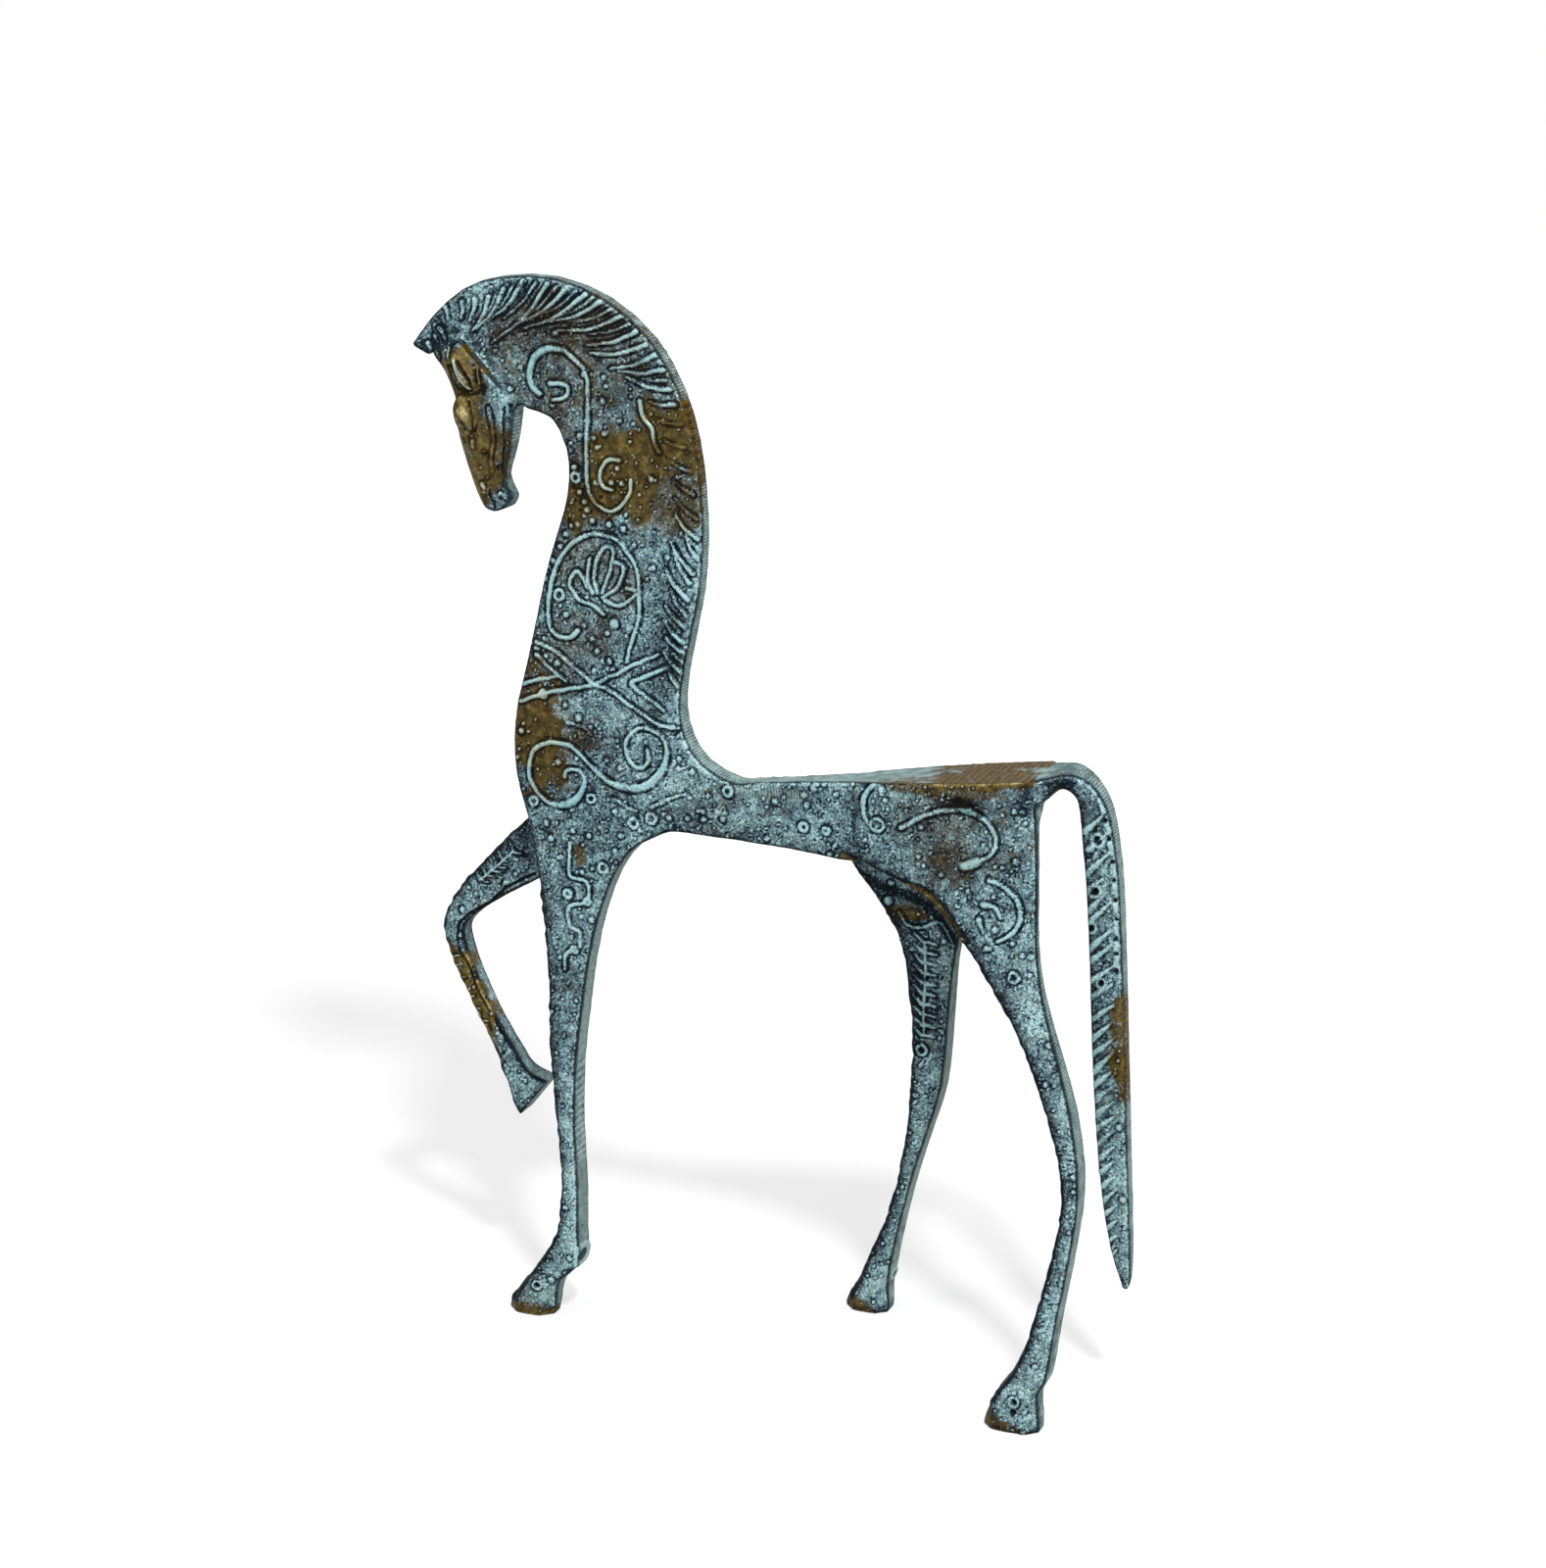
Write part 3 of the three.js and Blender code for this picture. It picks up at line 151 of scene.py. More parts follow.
MANE_GAP = 9  # wider gaps between strands stay bare
MANE_CROWD = 5.6  # narrower gaps have no thin strand
THIN_LENGTH = 0.36  # of a thin strand, as a share of its two neighbours together
STRAND_PALE = 0.6  # how much of the pale patina the strands take
STRAND_BOW = 0.07  # how far a strand bends out, as a share of its length
WORN_MANE = [
    (-27.5, 290, 8, 174), (-26.2, 283, 7, 165), (-24.6, 276, 7, 156), (-23.4, 269, 8, 147),
    (-22.6, 262, 9, 141),
]

NECK_LINES = [
    [(-73.5, 296.1), (-75.5, 298), (-76.7, 300.9), (-75.9, 305.4), (-73.6, 308.2), (-70.3, 309.8),
     (-65.5, 309.8), (-63, 308.2), (-60.1, 305.7), (-58.5, 303.5), (-57.6, 297.7), (-58.3, 276.9),
     (-58.1, 269.5), (-56.3, 265.2), (-54, 263.2), (-50.2, 262), (-46.6, 264.4), (-44.3, 268.1),
     (-43.6, 272)],
    [(-69.9, 299.6), (-65.7, 299.5), (-64.1, 298.4), (-65.1, 295.7), (-69, 294.6)],
    [(-47.7, 277.7), (-50.9, 277.5), (-53.5, 274.9), (-53.9, 271.9), (-52.6, 269.3), (-50.1, 268.6)],
    [(-40.8, 295.8), (-39.5, 291.5), (-37, 288.1), (-36.1, 284.4), (-34.6, 281)],
    # the arch
    [(-62.2, 224.5), (-64.5, 222.1), (-68.1, 221.8), (-70.4, 223.1), (-71.7, 226.1), (-71.9, 232.2),
     (-70.8, 238.4), (-69, 243.7), (-66, 248.5), (-62.3, 252.1), (-58.4, 254.2), (-54.5, 254.8),
     (-49.3, 253.7), (-46.1, 251), (-43, 246.7), (-41.7, 242.3), (-41.5, 236.3), (-41.5, 231.8),
     (-42.5, 227.1), (-44.2, 222.4), (-45.9, 216.1)],
    # the crossed bands and their chevrons
    [(-75.8, 219.5), (-70.5, 217.6), (-65.6, 214.3), (-60.7, 210.8), (-57.5, 208.3), (-52.6, 206.9),
     (-46.1, 203.2), (-41.2, 200.6), (-34.8, 197.3), (-28.9, 197)],
    [(-81.9, 200.4), (-74.1, 203.3), (-65.8, 205.7), (-59.2, 207.2), (-52.5, 210.3), (-46, 214),
     (-41, 216.6), (-35.5, 219.2)],
    [(-76.2, 215.5), (-72.3, 212.1), (-68, 209.5), (-66.4, 208.1)],
    [(-80.8, 206.1), (-74, 208.3), (-68, 209.5)],
    [(-33, 215.2), (-39.5, 212.2), (-44.4, 209.6), (-42.1, 207.3), (-37.9, 204.7), (-33.7, 202)],
    # the scroll on the chest, in two spirals
    [(-72.1, 188.2), (-66.1, 187.9), (-62.2, 185.8), (-58.9, 182.4), (-55.3, 179.7), (-50.7, 177),
     (-44.8, 176.4), (-39.9, 177.6), (-35.9, 180.8), (-33.6, 185.1), (-32.9, 189.8), (-34.1, 193.3),
     (-37.1, 195.2), (-41.3, 195.7), (-44.6, 193.8), (-46.3, 190.9), (-46.3, 187.5), (-44.7, 184.2),
     (-41.4, 183), (-39.1, 185.7), (-39.4, 189.1)],
    [(-72.1, 188.2), (-76.2, 186.2), (-78.6, 183.5), (-79.4, 177.1), (-77.5, 172.6), (-74.5, 169.7),
     (-70.5, 168.3), (-65.8, 169.1), (-62.7, 172), (-60.7, 176), (-61.3, 179), (-63.6, 180.3),
     (-66.6, 179.7), (-67.3, 177.4)],
]
NECK_FINE = [
    [(-55.4, 236.6), (-56.3, 241.1), (-55.2, 247.2), (-52.6, 251.1), (-50.3, 250.6), (-50, 248.2),
     (-51.4, 243), (-53.8, 236.8)],
    [(-50.4, 247), (-46.8, 245.5), (-47.2, 241.9), (-48.9, 238.7), (-53.8, 235.2)],
    [(-57, 236.5), (-58.6, 240.9), (-57.5, 247)],
    [(-58.7, 237.9), (-60.9, 242.2), (-62.5, 242.7), (-64.2, 240.4), (-64.5, 238)],
    [(-53, 234.4), (-48.3, 233.3), (-42.4, 237.1)],
    [(-45.6, 239), (-42.4, 238.3)],
    [(-64.2, 237.4), (-61.3, 234), (-57.1, 232.8), (-53.2, 230.1)],
]
NECK_FAINT = [
    [(-66, 195.1), (-61, 194), (-58.4, 191.8)],
    [(-51.1, 172.3), (-46.5, 170.3), (-43.2, 169.1)],
    [(-38.3, 170.9), (-32, 174.2), (-26.8, 176.5)],
]
NECK_RINGS = [
    (-62, 271.6, 1.3), (-68.2, 234.9, 1.5), (-74.1, 203.3, 1.2), (-38.3, 167.4, 1.6),
    (-44.3, 165.2, 1.4), (-78.2, 168.7, 1.3), (-58.4, 171.5, 1.3), (-12.9, 178.6, 1.4), (-54.8, 149.5, 1.5),
]
NECK_DOTS = [
    (-62.3, 274.6), (-60.8, 267.2), (-59.2, 264.3), (-58.3, 262), (-61.6, 257.3), (-56.7, 258.8),
    (-51.2, 258.1), (-46.4, 256.9), (-65.6, 253.9), (-67.6, 249.9), (-70, 245.4), (-73, 239.6),
    (-66, 229), (-57.3, 222.1), (-55.7, 218.6), (-51.8, 215.6), (-56.8, 212.1), (-74, 161.9),
    (-72.4, 157.3), (-48.6, 160.6), (-50.7, 155.6), (-32.4, 168.1), (-26.2, 168.8), (-21, 169),
    (-14.6, 169.8), (-42, 163.3), (-58.9, 302.8), (-57.9, 288.9), (-58, 283.2), (-68, 314.6),
]
NECK_PITS = [(-63, 268.5), (-62.2, 264.6), (-60.5, 261.6), (-64.4, 258.6), (-68.3, 262.8), (-66.2, 272.5),
             (-53.8, 265.9), (-59.4, 270.8)]
NECK_SWELLS = {0: (0.12, 0.5), 10: (0.42, 1), 11: (0.62, 0.9)}  # by the line's number in NECK_LINES
MEANDER = [(-66, 156.4), (-66.1, 152.3), (-66.2, 145.9), (-60.5, 144.3), (-60.3, 138), (-66.4, 135.6),
           (-66.5, 129.5), (-63.2, 127.7), (-62.9, 123.2)]
MEANDER_TAIL = [(-64.9, 121.6), (-68, 119.6), (-68.5, 114.7)]

HAUNCH_LINES = [
    [(37.1, 188.4), (34, 184.4), (33.8, 179), (35.3, 176.1)],
    [(45.5, 175.8), (53.1, 180.5), (59.2, 182.7), (66.7, 183.2), (70.7, 181.6), (74.4, 177.5),
     (74.7, 173.1), (72.4, 169.8), (68.5, 167.8)],
    [(73, 162.8), (76.4, 162.1), (80.1, 159.7), (82.5, 156.4), (83.1, 152.8), (81.8, 149), (79.3, 146.3),
     (75.9, 144.4)],
]
HAUNCH_RINGS = [(38.1, 175.8, 2), (45.3, 191.3, 1.3), (81.2, 133.7, 1.5), (14.6, 172.6, 1.2), (22, 172.4, 1)]
GROIN_CASTINGS = ("neck_and_trunk", "near_hind_leg", "far_hind_leg")
GROIN = [(27.6, 164.9), (33.8, 162.1), (43.3, 158.9), (52.3, 156.7), (57.3, 153.5), (61.3, 148.2),
         (65.2, 143.6)]
UNDER_GROIN = [(x - 1.3, z - 2.4) for x, z in GROIN]

# The tail's leaves, each from its low end near the front edge to its tip, and the cells down the rear edge
TAIL_LEAVES = [
    ((99.5, 178.5), (104.9, 184)), ((100.9, 173.4), (106.3, 178.6)), ((99.9, 165.4), (107.1, 173.2)),
    ((100.6, 160.3), (105.1, 164.8)), ((101.4, 154.5), (105.9, 160.3)), ((101.5, 151.2), (107.9, 157.9)),
    ((101.8, 142.6), (107.8, 149.3)), ((102.8, 139.4), (109.2, 145.5)), ((102, 132.6), (109.1, 138.2)),
    ((102.5, 128), (109.2, 132.9)), ((102.7, 120.7), (109.4, 126.3)), ((103.2, 114.7), (108.9, 120.5)),
    ((103.6, 110), (109.7, 115.9)), ((104.1, 104.7), (109.8, 111.6)),
]
LOW_LEAVES = 14  # more leaves, evenly, from LOW_LEAF_START down to the tip
LOW_LEAF_START = (104.2, 100.3)
LOW_LEAF_END = (110.8, 42)
TAIL_CELLS = [(103.4, 190), (105.6, 182.4), (107, 177.1), (108.2, 170.3), (108.5, 164.5), (109.1, 158.7),
              (109.5, 152.8), (109.8, 146.9), (110, 142.3), (110.2, 137)]
TAIL_RINGS = [(103.5, 176.2, 1.9), (102.7, 160.8, 1.9), (102.1, 149.3, 1.5), (105.6, 132.8, 1.4)]

INNER_FOLD = [(32.2, 137.2), (35.1, 133.6), (39.8, 133), (44.9, 135.4), (47.8, 133.4), (50.2, 128.6),
              (53.7, 129)]
LADDER = [(41, 128.6), (41.1, 119.4), (40.9, 109.7), (40.8, 98.1)]
RUNGS = 10
NEAR_LEG_BEHIND = 30  # how much further back the near hind leg stands
SHIN_TICKS = [(-114, 109.3), (-113.8, 106.1), (-112.4, 102.2), (-109.4, 95.9), (-107.7, 91.9), (-104.9, 88.2),
              (-102.9, 81.9)]
SHIN_EDGE = [(-84.5, 140.6), (-94.5, 134.8), (-100.3, 129.4), (-109, 123.6), (-112.3, 119.2), (-112.2, 112.4),
             (-108.7, 106.1), (-105.4, 97.7), (-99.2, 88.2), (-96.4, 82.5)]
ARM_SPINE = [(-104.1, 136.2), (-97.5, 142), (-91.8, 147)]
ARM_TICKS = 7

# The head: the ear with its slit, brow, eye, cheek, nostril, mouth, and the lines down the cheek and jaw
HEAD_RAISED = [
    ([(-98.5, 306.6), (-98.3, 302.5), (-96.6, 298.6)], (7.4, 0.9, 0.7)),
    ([(-101.4, 304.6), (-100.9, 301.6), (-99.7, 299.2), (-97.8, 297.5), (-96, 296.5)], (1.1, 0.6, 0.9)),
    ([(-95.4, 307.7), (-94.6, 305.6), (-93.7, 303.3), (-93.2, 300.5), (-92.9, 298.1)], (1, 0.3, 0.8)),
    ([(-99.1, 292.2), (-99.6, 290.5), (-98.8, 288.6), (-97.3, 287.1), (-96.4, 285.6)], (4, 0.7, 0.95)),
    ([(-95.7, 280.4), (-95.6, 278.6)], (1.6, 0.35, 0.7)),
    ([(-92.9, 267.4), (-92.3, 266.2)], (1.7, 0.35, 0.7)),
    ([(-90.1, 291.1), (-89.7, 288.8), (-89.3, 285.6), (-88.8, 281.6), (-89.3, 278.4), (-89.8, 275.1),
      (-89.5, 271.5)], (1.3, 0.16, 0.8)),
    ([(-86.6, 265), (-83.7, 263.8), (-82, 266.4)], (1.6, 0.35, 0.8)),
]
HEAD_CUTS = [
    ([(-100.1, 304.2), (-98.9, 302.2), (-97.4, 300.3), (-96.1, 298.7), (-95.9, 297.2)], (1.7, -1, 0.7)),
    ([(-96.9, 292.3), (-96.3, 290.3), (-95.9, 288.4), (-95.6, 286), (-94.9, 283.2)], (0.9, -0.5, 0.7)),
    ([(-103.4, 303), (-102.2, 299), (-99.9, 296.4), (-96.4, 294.6), (-93.4, 295.6), (-91.8, 297.2)],
     (1.3, -0.45, 0.9)),
    ([(-100.3, 291.1), (-101.2, 289.6)], (0.8, -0.3, 0.6)),
    ([(-84.8, 291.5), (-85.1, 288.3), (-85.4, 285.1), (-85.1, 281.1), (-85.4, 277.1), (-85.7, 273.8),
      (-85.5, 271)], (1.1, -0.5, 0.8)),
    ([(-90.7, 266), (-90.1, 263.8), (-88.8, 261.9), (-88.7, 260.7)], (0.9, -0.45, 0.8)),
    ([(-82.6, 292.4), (-82.8, 290)], (1.6, -0.4, 1)),
    ([(-91.7, 297.4), (-91.7, 295.8)], (2, -0.5, 1)),
]
HEAD_SPECKS = [(-96.1, 281.9), (-92, 277.6), (-93.4, 272.7), (-91.1, 269.8), (-86.6, 272.8), (-99.2, 280.5),
               (-83.6, 286.6), (-82.6, 283.4), (-84, 280.6), (-82.8, 277.6)]
FORELOCK = [((-110.5, 313.5), (-107.2, 307.8)), ((-106.2, 315), (-104.2, 307.6)),
            ((-108.8, 310.8), (-106.4, 305.2)), ((-102.6, 313.4), (-103.4, 305.4))]


def neck_panel():
    made = [strand(*one) for one in MANE]
    for (x, z, long, a), (next_x, next_z, next_long, b) in zip(MANE[:-1], MANE[1:]):
        if MANE_CROWD < math.hypot(next_x - x, next_z - z) < MANE_GAP:
            made.append(strand((x + next_x) / 2, (z + next_z) / 2, THIN_LENGTH * (long + next_long),
                               mean_angle(a, b), THIN_STRAND))
    made += [strand(*one, WORN_STRAND) for one in WORN_MANE]
    made += [stroke(line, swell=NECK_SWELLS.get(number)) for number, line in enumerate(NECK_LINES)]
    made += [stroke(line, PETAL) for line in NECK_FINE]
    made += [stroke(line, FAINT) for line in NECK_FAINT]
    made += [ring(*one) for one in NECK_RINGS]
    made += [dot(*one) for one in NECK_DOTS]
    made += [dot(x, z, 1.3, -0.5) for x, z in NECK_PITS]
    made += [dot(-50, 227.4, 3.4, 0.7)]
    return made


def haunch_panel(side):
    """The scrolls and holes of a haunch and, on the near side only, the ridge along the groin."""
    made = [stroke(line, swell=(0.5, 0.3)) for line in HAUNCH_LINES]
    made += [ring(*one) for one in HAUNCH_RINGS]
    made += [stroke([(65.3, 166.2), (69.3, 168)], (3, 0.7, 1))]
    made += [stroke([(71.5, 155.2), (75, 154.8), (77, 151.6)], BOLD)]
    made += [stroke([(70.3, 150.4), (71.7, 146.4)], (1.9, 0.5, 0.3))]
    if side == NEAR:
        made += [stroke(GROIN, (2.6, 0.7, 1), pale=0), stroke(UNDER_GROIN, (2, -1.2, 1))]
    made += [dot(63, 185.5, 3.2, -0.9), dot(67, 184.2, 2.8, -0.9), dot(70, 182.4, 2, -0.8)]
    made += [dot(41.7, 152.5, 2.4, -0.6), dot(83.9, -2.8, 1.9, -0.9), ring(83.9, -2.8, 1.6, HOLE_RIM)]
    return made


def foreleg_panel():
    made = [stroke(MEANDER, (1.3, 0.55, 1)), stroke(MEANDER_TAIL, (1.3, 0.55, 1))]
    made += [ring(-67, 139.7, 1.3), ring(-64.9, 121.6, 1), ring(-60.3, 138, 1)]
    made += [dot(-80.5, 5.1, 1.7, -0.9), ring(-80.5, 5.1, 1.4, HOLE_RIM)]
    return made


def tail_panel():
    made = [stroke(ends, LEAF, pale=0.7) for ends in TAIL_LEAVES]
    for i in range(LOW_LEAVES):
        t = i / (LOW_LEAVES - 1)
        x, z = between(LOW_LEAF_START, LOW_LEAF_END, t)
        long = 7.2 - 4 * t
        tip = (x + 0.72 * long, z + 0.7 * long)
        made.append(stroke([(x, z), tip], (2.8 - 0.8 * t, 0.7, 0.25), pale=0.75))
    for cell in zip(TAIL_CELLS[:-1], TAIL_CELLS[1:]):
        made.append(stroke([between(*cell, 0.2), between(*cell, 0.65)], (1.8, 0.5, 0.9)))
    made += [dot(x, z, 1.5, -0.6) for x, z in TAIL_CELLS[1:]]
    made += [ring(*one) for one in TAIL_RINGS]
    made += [dot(x, z, 1.5 * radius, -0.9) for x, z, radius in TAIL_RINGS]
    return made


def hind_ladder(across):
    """The fold and the ladder on the inner side of a hind leg, moved across for the near leg."""
    line = [(x + across, z) for x, z in LADDER]
    foot_x, foot_z = line[-1]
    made = [stroke(line, (1.2, 0.5, 0.8)), ring(foot_x - 0.7, foot_z - 5.1, 1.6)]
    made += [stroke([(x + across, z) for x, z in INNER_FOLD], (1.1, 0.5, 0.9))]
    made += [dot(28.7 + across, 140.5, 3, 0.8)]
    for i in range(RUNGS):
        x, z = between(line[0], line[-1], i / (RUNGS - 1))
        made.append(stroke([(x + 0.6, z), (x + 3.6, z - 0.4)], (1.2, 0.45, 0.8)))
        made.append(stroke([(x - 0.8, z), (x - 3.8, z + 2.6)], (1.3, 0.45, 0.4)))
    return made


def raised_panel():
    made = [stroke(ARM_SPINE, (0.9, 0.4, 1)), stroke(SHIN_EDGE, (1.1, -0.5, 0.8))]
    for i in range(ARM_TICKS):
        x, z = between(ARM_SPINE[0], ARM_SPINE[-1], i / (ARM_TICKS - 1))
        made.append(stroke([(x, z), (x - 1.6, z + 3.4)], (0.9, 0.4, 0.5)))
        made.append(stroke([(x, z), (x + 3.4, z - 0.6)], (0.9, 0.4, 0.5)))
    made += [stroke([(x, z), (x + 2.4, z + 0.5)], (0.8, 0.35, 0.8)) for x, z in SHIN_TICKS]
    made += [dot(-94.9, 136.3), dot(-110.8, 125.4)]
    made += [stroke([(-103, 87.1), (-97.9, 78.7)], (1.5, 0.5, 0.8), pale=0)]
    return made


def head_panel():
    made = [stroke(*one) for one in HEAD_RAISED + HEAD_CUTS]
    made += [dot(x, z, 0.9, 0.25) for x, z in HEAD_SPECKS]
    made += [stroke([top, foot], (1.5, 0.5, 0.5)) for top, foot in FORELOCK]
    return made


# The upright planes in which the tables are measured, from the middle outwards, and below 0 beyond it. The
# camera's line of sight takes a plane to the surface.

NECK_PLANE = 4.8
HAUNCH_PLANE = 12
INNER_LEG_PLANE = -24
RAISED_NEAR_PLANE = -8
RAISED_FAR_PLANE = 17
TAIL_PLANE = 4
HEAD_PLANE = 6


def panels_of(side):
    """The panels of one side: plane, castings and strokes. The far side has the near side's ornament."""
    if side == NEAR:
        outer, inner, across, plane = "near_hind_leg", "far_hind_leg", 0, RAISED_NEAR_PLANE
    else:
        outer, inner, across, plane = "far_hind_leg", "near_hind_leg", NEAR_LEG_BEHIND, RAISED_FAR_PLANE
    return [
        (NECK_PLANE, ("neck_and_trunk", "standing_foreleg"), neck_panel() + foreleg_panel()),
        (HAUNCH_PLANE, ("neck_and_trunk", outer), haunch_panel(side)),
        (INNER_LEG_PLANE, (inner,), hind_ladder(across)),
        (plane, ("raised_foreleg",), raised_panel()),
        (TAIL_PLANE, ("tail",), tail_panel()),
        (HEAD_PLANE, ("head",), head_panel()),
    ]


# Oval rings on the rear of the fetlocks: casting, middle and half sizes across and up

REAR_RINGS = [("standing_foreleg", (-11, 21.8), (4.8, 3)), ("far_hind_leg", (31, 12.9), (2.4, 1.5))]

# Bare, rubbed bronze on each casting: middle in the side view, half sizes and strength

RUMP_TOP = ((58, 194.5), (29, 4.8), 1.7)
RUBBED = {
    "neck_and_trunk": [
        RUMP_TOP, ((-49, 273), (15, 15), 1.1), ((-33, 286), (13, 12), 1), ((-24, 284), (6, 16), 0.9),
        ((-64.5, 266), (6, 10), 1), ((-30, 268), (10, 12), 0.5), ((-76.5, 192.5), (11.5, 17), 1.1),
        ((-61, 190), (9, 4), 0.4), ((-63, 152), (2.5, 3.5), 0.6), ((36, 158), (8, 2), 0.5),
        ((-46, 306), (44, 26), 0.3), ((-57, 238), (16, 22), 0.2), ((-72, 205), (18, 34), 0.22),
        ((-10, 172), (22, 9), 0.12),
    ],
    "head": [((-99, 298), (8, 14), 0.9), ((-94, 277), (8.5, 17), 0.95)],
    "standing_foreleg": [((-79, 0), (13, 4.4), 1.2)],
    "raised_foreleg": [
        ((-113, 105), (5, 8), 1.25), ((-109, 96), (5, 8), 1.25), ((-105, 87), (5, 8), 1.2),
        ((-101, 79), (4, 5), 1),
    ],
    "near_hind_leg": [
        RUMP_TOP, ((56, 189), (25, 3.4), 0.5), ((59.5, 166), (10, 9), 0.34), ((80, 1), (12, 6), 1.3),
        ((62, 176), (24, 18), 0.2),
    ],
    "far_hind_leg": [RUMP_TOP, ((15, 0.5), (12, 4.6), 1.2), ((40, 141.6), (7, 2.6), 0.8)],
    "tail": [((111.5, 122), (3.6, 9), 0.9), ((113, 108), (4.2, 12), 1)],
}

# Paler and darker places on each casting: middle, half sizes and by how much. Most are the patina's own; the
# head's ear and brow take painted highlights, and the far leg's inner thigh takes painted shade.

BESIDE_ARCH = ((84, 189), (4, 6), -0.35)
PATINA_TONES_AND_PAINTED_LIGHT = {
    "neck_and_trunk": [
        ((-33, 240), (6, 34), -0.08), ((-57, 228), (12, 26), -0.04), ((-30, 182), (13, 8), 0.16),
        ((-5, 172), (13, 5), 0.1), ((-70, 318), (30, 12), -0.13), ((-60, 190), (14, 7), -0.16),
        ((-60, 168), (22, 20), -0.06), ((-106, 312), (8, 8), -0.16),
    ],
    "head": [
        # the second and third: painted highlights on the ear and the brow
        ((-106, 311), (8, 7), -0.2), ((-98.5, 303), (4, 6), 0.4), ((-98, 289.5), (3.5, 4), 0.45),
        ((-95, 277), (5, 14), 0.16),
    ],
    "standing_foreleg": [((-62, 50), (14, 42), 0.22), ((-70, 12), (14, 9), 0.22), ((-80, 0), (11, 5), 0.35)],
    "raised_foreleg": [
        ((-80, 152), (10, 12), -0.22), ((-88, 66), (14, 10), 0.15), ((-104, 128), (13, 14), 0.12),
        ((-107, 95), (8, 18), 0.2),
    ],
    "near_hind_leg": [
        ((94, 60), (18, 50), 0.16), ((90, 8), (13, 10), 0.2), ((80, 1), (11, 6), 0.4),
        ((88, 122), (7, 22), 0.24), ((65, 185), (6, 2.8), -0.6), ((48, 180), (12, 8), -0.12),
        ((59.5, 166), (9, 9), -0.14), BESIDE_ARCH,
    ],
    "far_hind_leg": [
        # the third: painted shade on the inner thigh under the haunch
        ((24, 10), (13, 10), 0.26), ((34, 50), (16, 48), 0.14), ((44, 146), (16, 12), -0.1), BESIDE_ARCH,
    ],
    "tail": [
        ((106, 150), (10, 40), 0.05), ((108, 70), (10, 42), 0.1), ((110, 44), (7, 14), 0.26),
        ((93, 192), (7, 5), -0.38), ((112, 114), (5, 18), 0.14),
    ],
}
FILED_PATCH = ((1, 179.5), (14, 2.2))  # on the near and far faces, just behind the withers

BEND = (-32.1, 164.1)  # where the belly meets the standing foreleg
CORNER_DARK = 1.3  # how dark the corners between the faces and the filed edges are
LEG_CORNER_DARK = 1.9  # the same on the legs, where the band is wider
LEG_REAR_PAINTED_LIGHT = 0.32  # painted light: how much paler the faces of the legs are beside the rear corners
LEG_FRONT_PAINTED_SHADE = 0.5  # painted shade: how much darker they are beside the front corners

# The outer line of the crest and the back, along which the file ran

FILED_LINE = [
    (-117.8, 308.6), (-110.8, 317), (-99.8, 326), (-86.8, 330.3), (-69.5, 330.8), (-52.5, 325.4),
    (-38.1, 314.3), (-28.9, 299.7), (-24, 284.6), (-21.8, 268.5), (-21.4, 254), (-22.5, 239.5),
    (-25.3, 226), (-28.1, 212.5), (-29, 202), (-27.1, 193.5), (-21.5, 186), (-9, 180.8), (0, 181),
    (88, 194.7), (98, 193), (106, 185), (110, 162), (116.5, 35),
]


# How the surface is worked: lengths in millimetres, and the sizes and seeds of the noise in it

CELL = 0.25  # of the relief maps
SAMPLE = 0.2  # between the points of a stroke
MARGIN = 4  # of the maps around their strokes
FAR_OFF = 9.0  # from a stroke or boss: further than any of them reaches
NARROW_REACH, WIDE_REACH = 2.2, 5  # how far around strokes the maps are filled
WIDE = 1.4  # half width from which a stroke takes the wide reach
BROAD = 1.8  # half width from which a stroke is a form, and takes no paler patina
SWELL_SPREAD = 0.13  # of a stroke's length
WAVER = 0.22  # how far strokes stray sideways
DITCH = 0.18  # depth of the ditches beside strokes
TAIL_DITCH = 0.34  # how deep they are on the tail, as a share
BOSSES = ((3.3, 0.26, (0.5, 1.1), 40), (2, 0.16, (0.4, 0.65), 50))  # pitch, share, radii and seed
BOSS_HEIGHT = 0.34
BOSS_DITCH = 0.1
BEAD_HEIGHT = 0.6  # of the rings on the fetlocks
LUMPS = ((0.1, 2.3, 1), (0.16, 5.5, 2), (0.08, 1.2, 3))  # height, size and seed
CRUMBS = (0.32, 2.1, 4)  # the same, of the crumbling front edges of the legs


# Mesh tools


def numpy_of(collection, name, width, kind):
    values = np.empty(len(collection) * width, kind)
    collection.foreach_get(name, values)
    return values.reshape(-1, width) if width > 1 else values


def closed_skin():
    """One skin over all the castings, with the thin seams between them closed, in millimetres."""
    joined = bmesh.new()
    for name in CASTINGS:
        joined.from_mesh(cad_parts[name].data)
    bmesh.ops.remove_doubles(joined, verts=joined.verts, dist=1e-6)
    joined.normal_update()
    for vertex in joined.verts:
        vertex.co += vertex.normal * CLOSING * MM
    mesh = bpy.data.meshes.new("joined")
    joined.to_mesh(mesh)
    joined.free()
    obj = linked("joined", mesh)
    remesh = obj.modifiers.new("remesh", "REMESH")
    remesh.mode = "VOXEL"
    remesh.voxel_size = VOXEL * MM
    graph = bpy.context.evaluated_depsgraph_get()
    made = bpy.data.meshes.new_from_object(obj.evaluated_get(graph))
    bpy.data.objects.remove(obj)
    points = numpy_of(made.vertices, "co", 3, np.float32).astype(float) / MM
    faces = numpy_of(made.loops, "vertex_index", 1, np.int32).reshape(-1, 4)
    bpy.data.meshes.remove(made)
    return outer_part(points, faces)


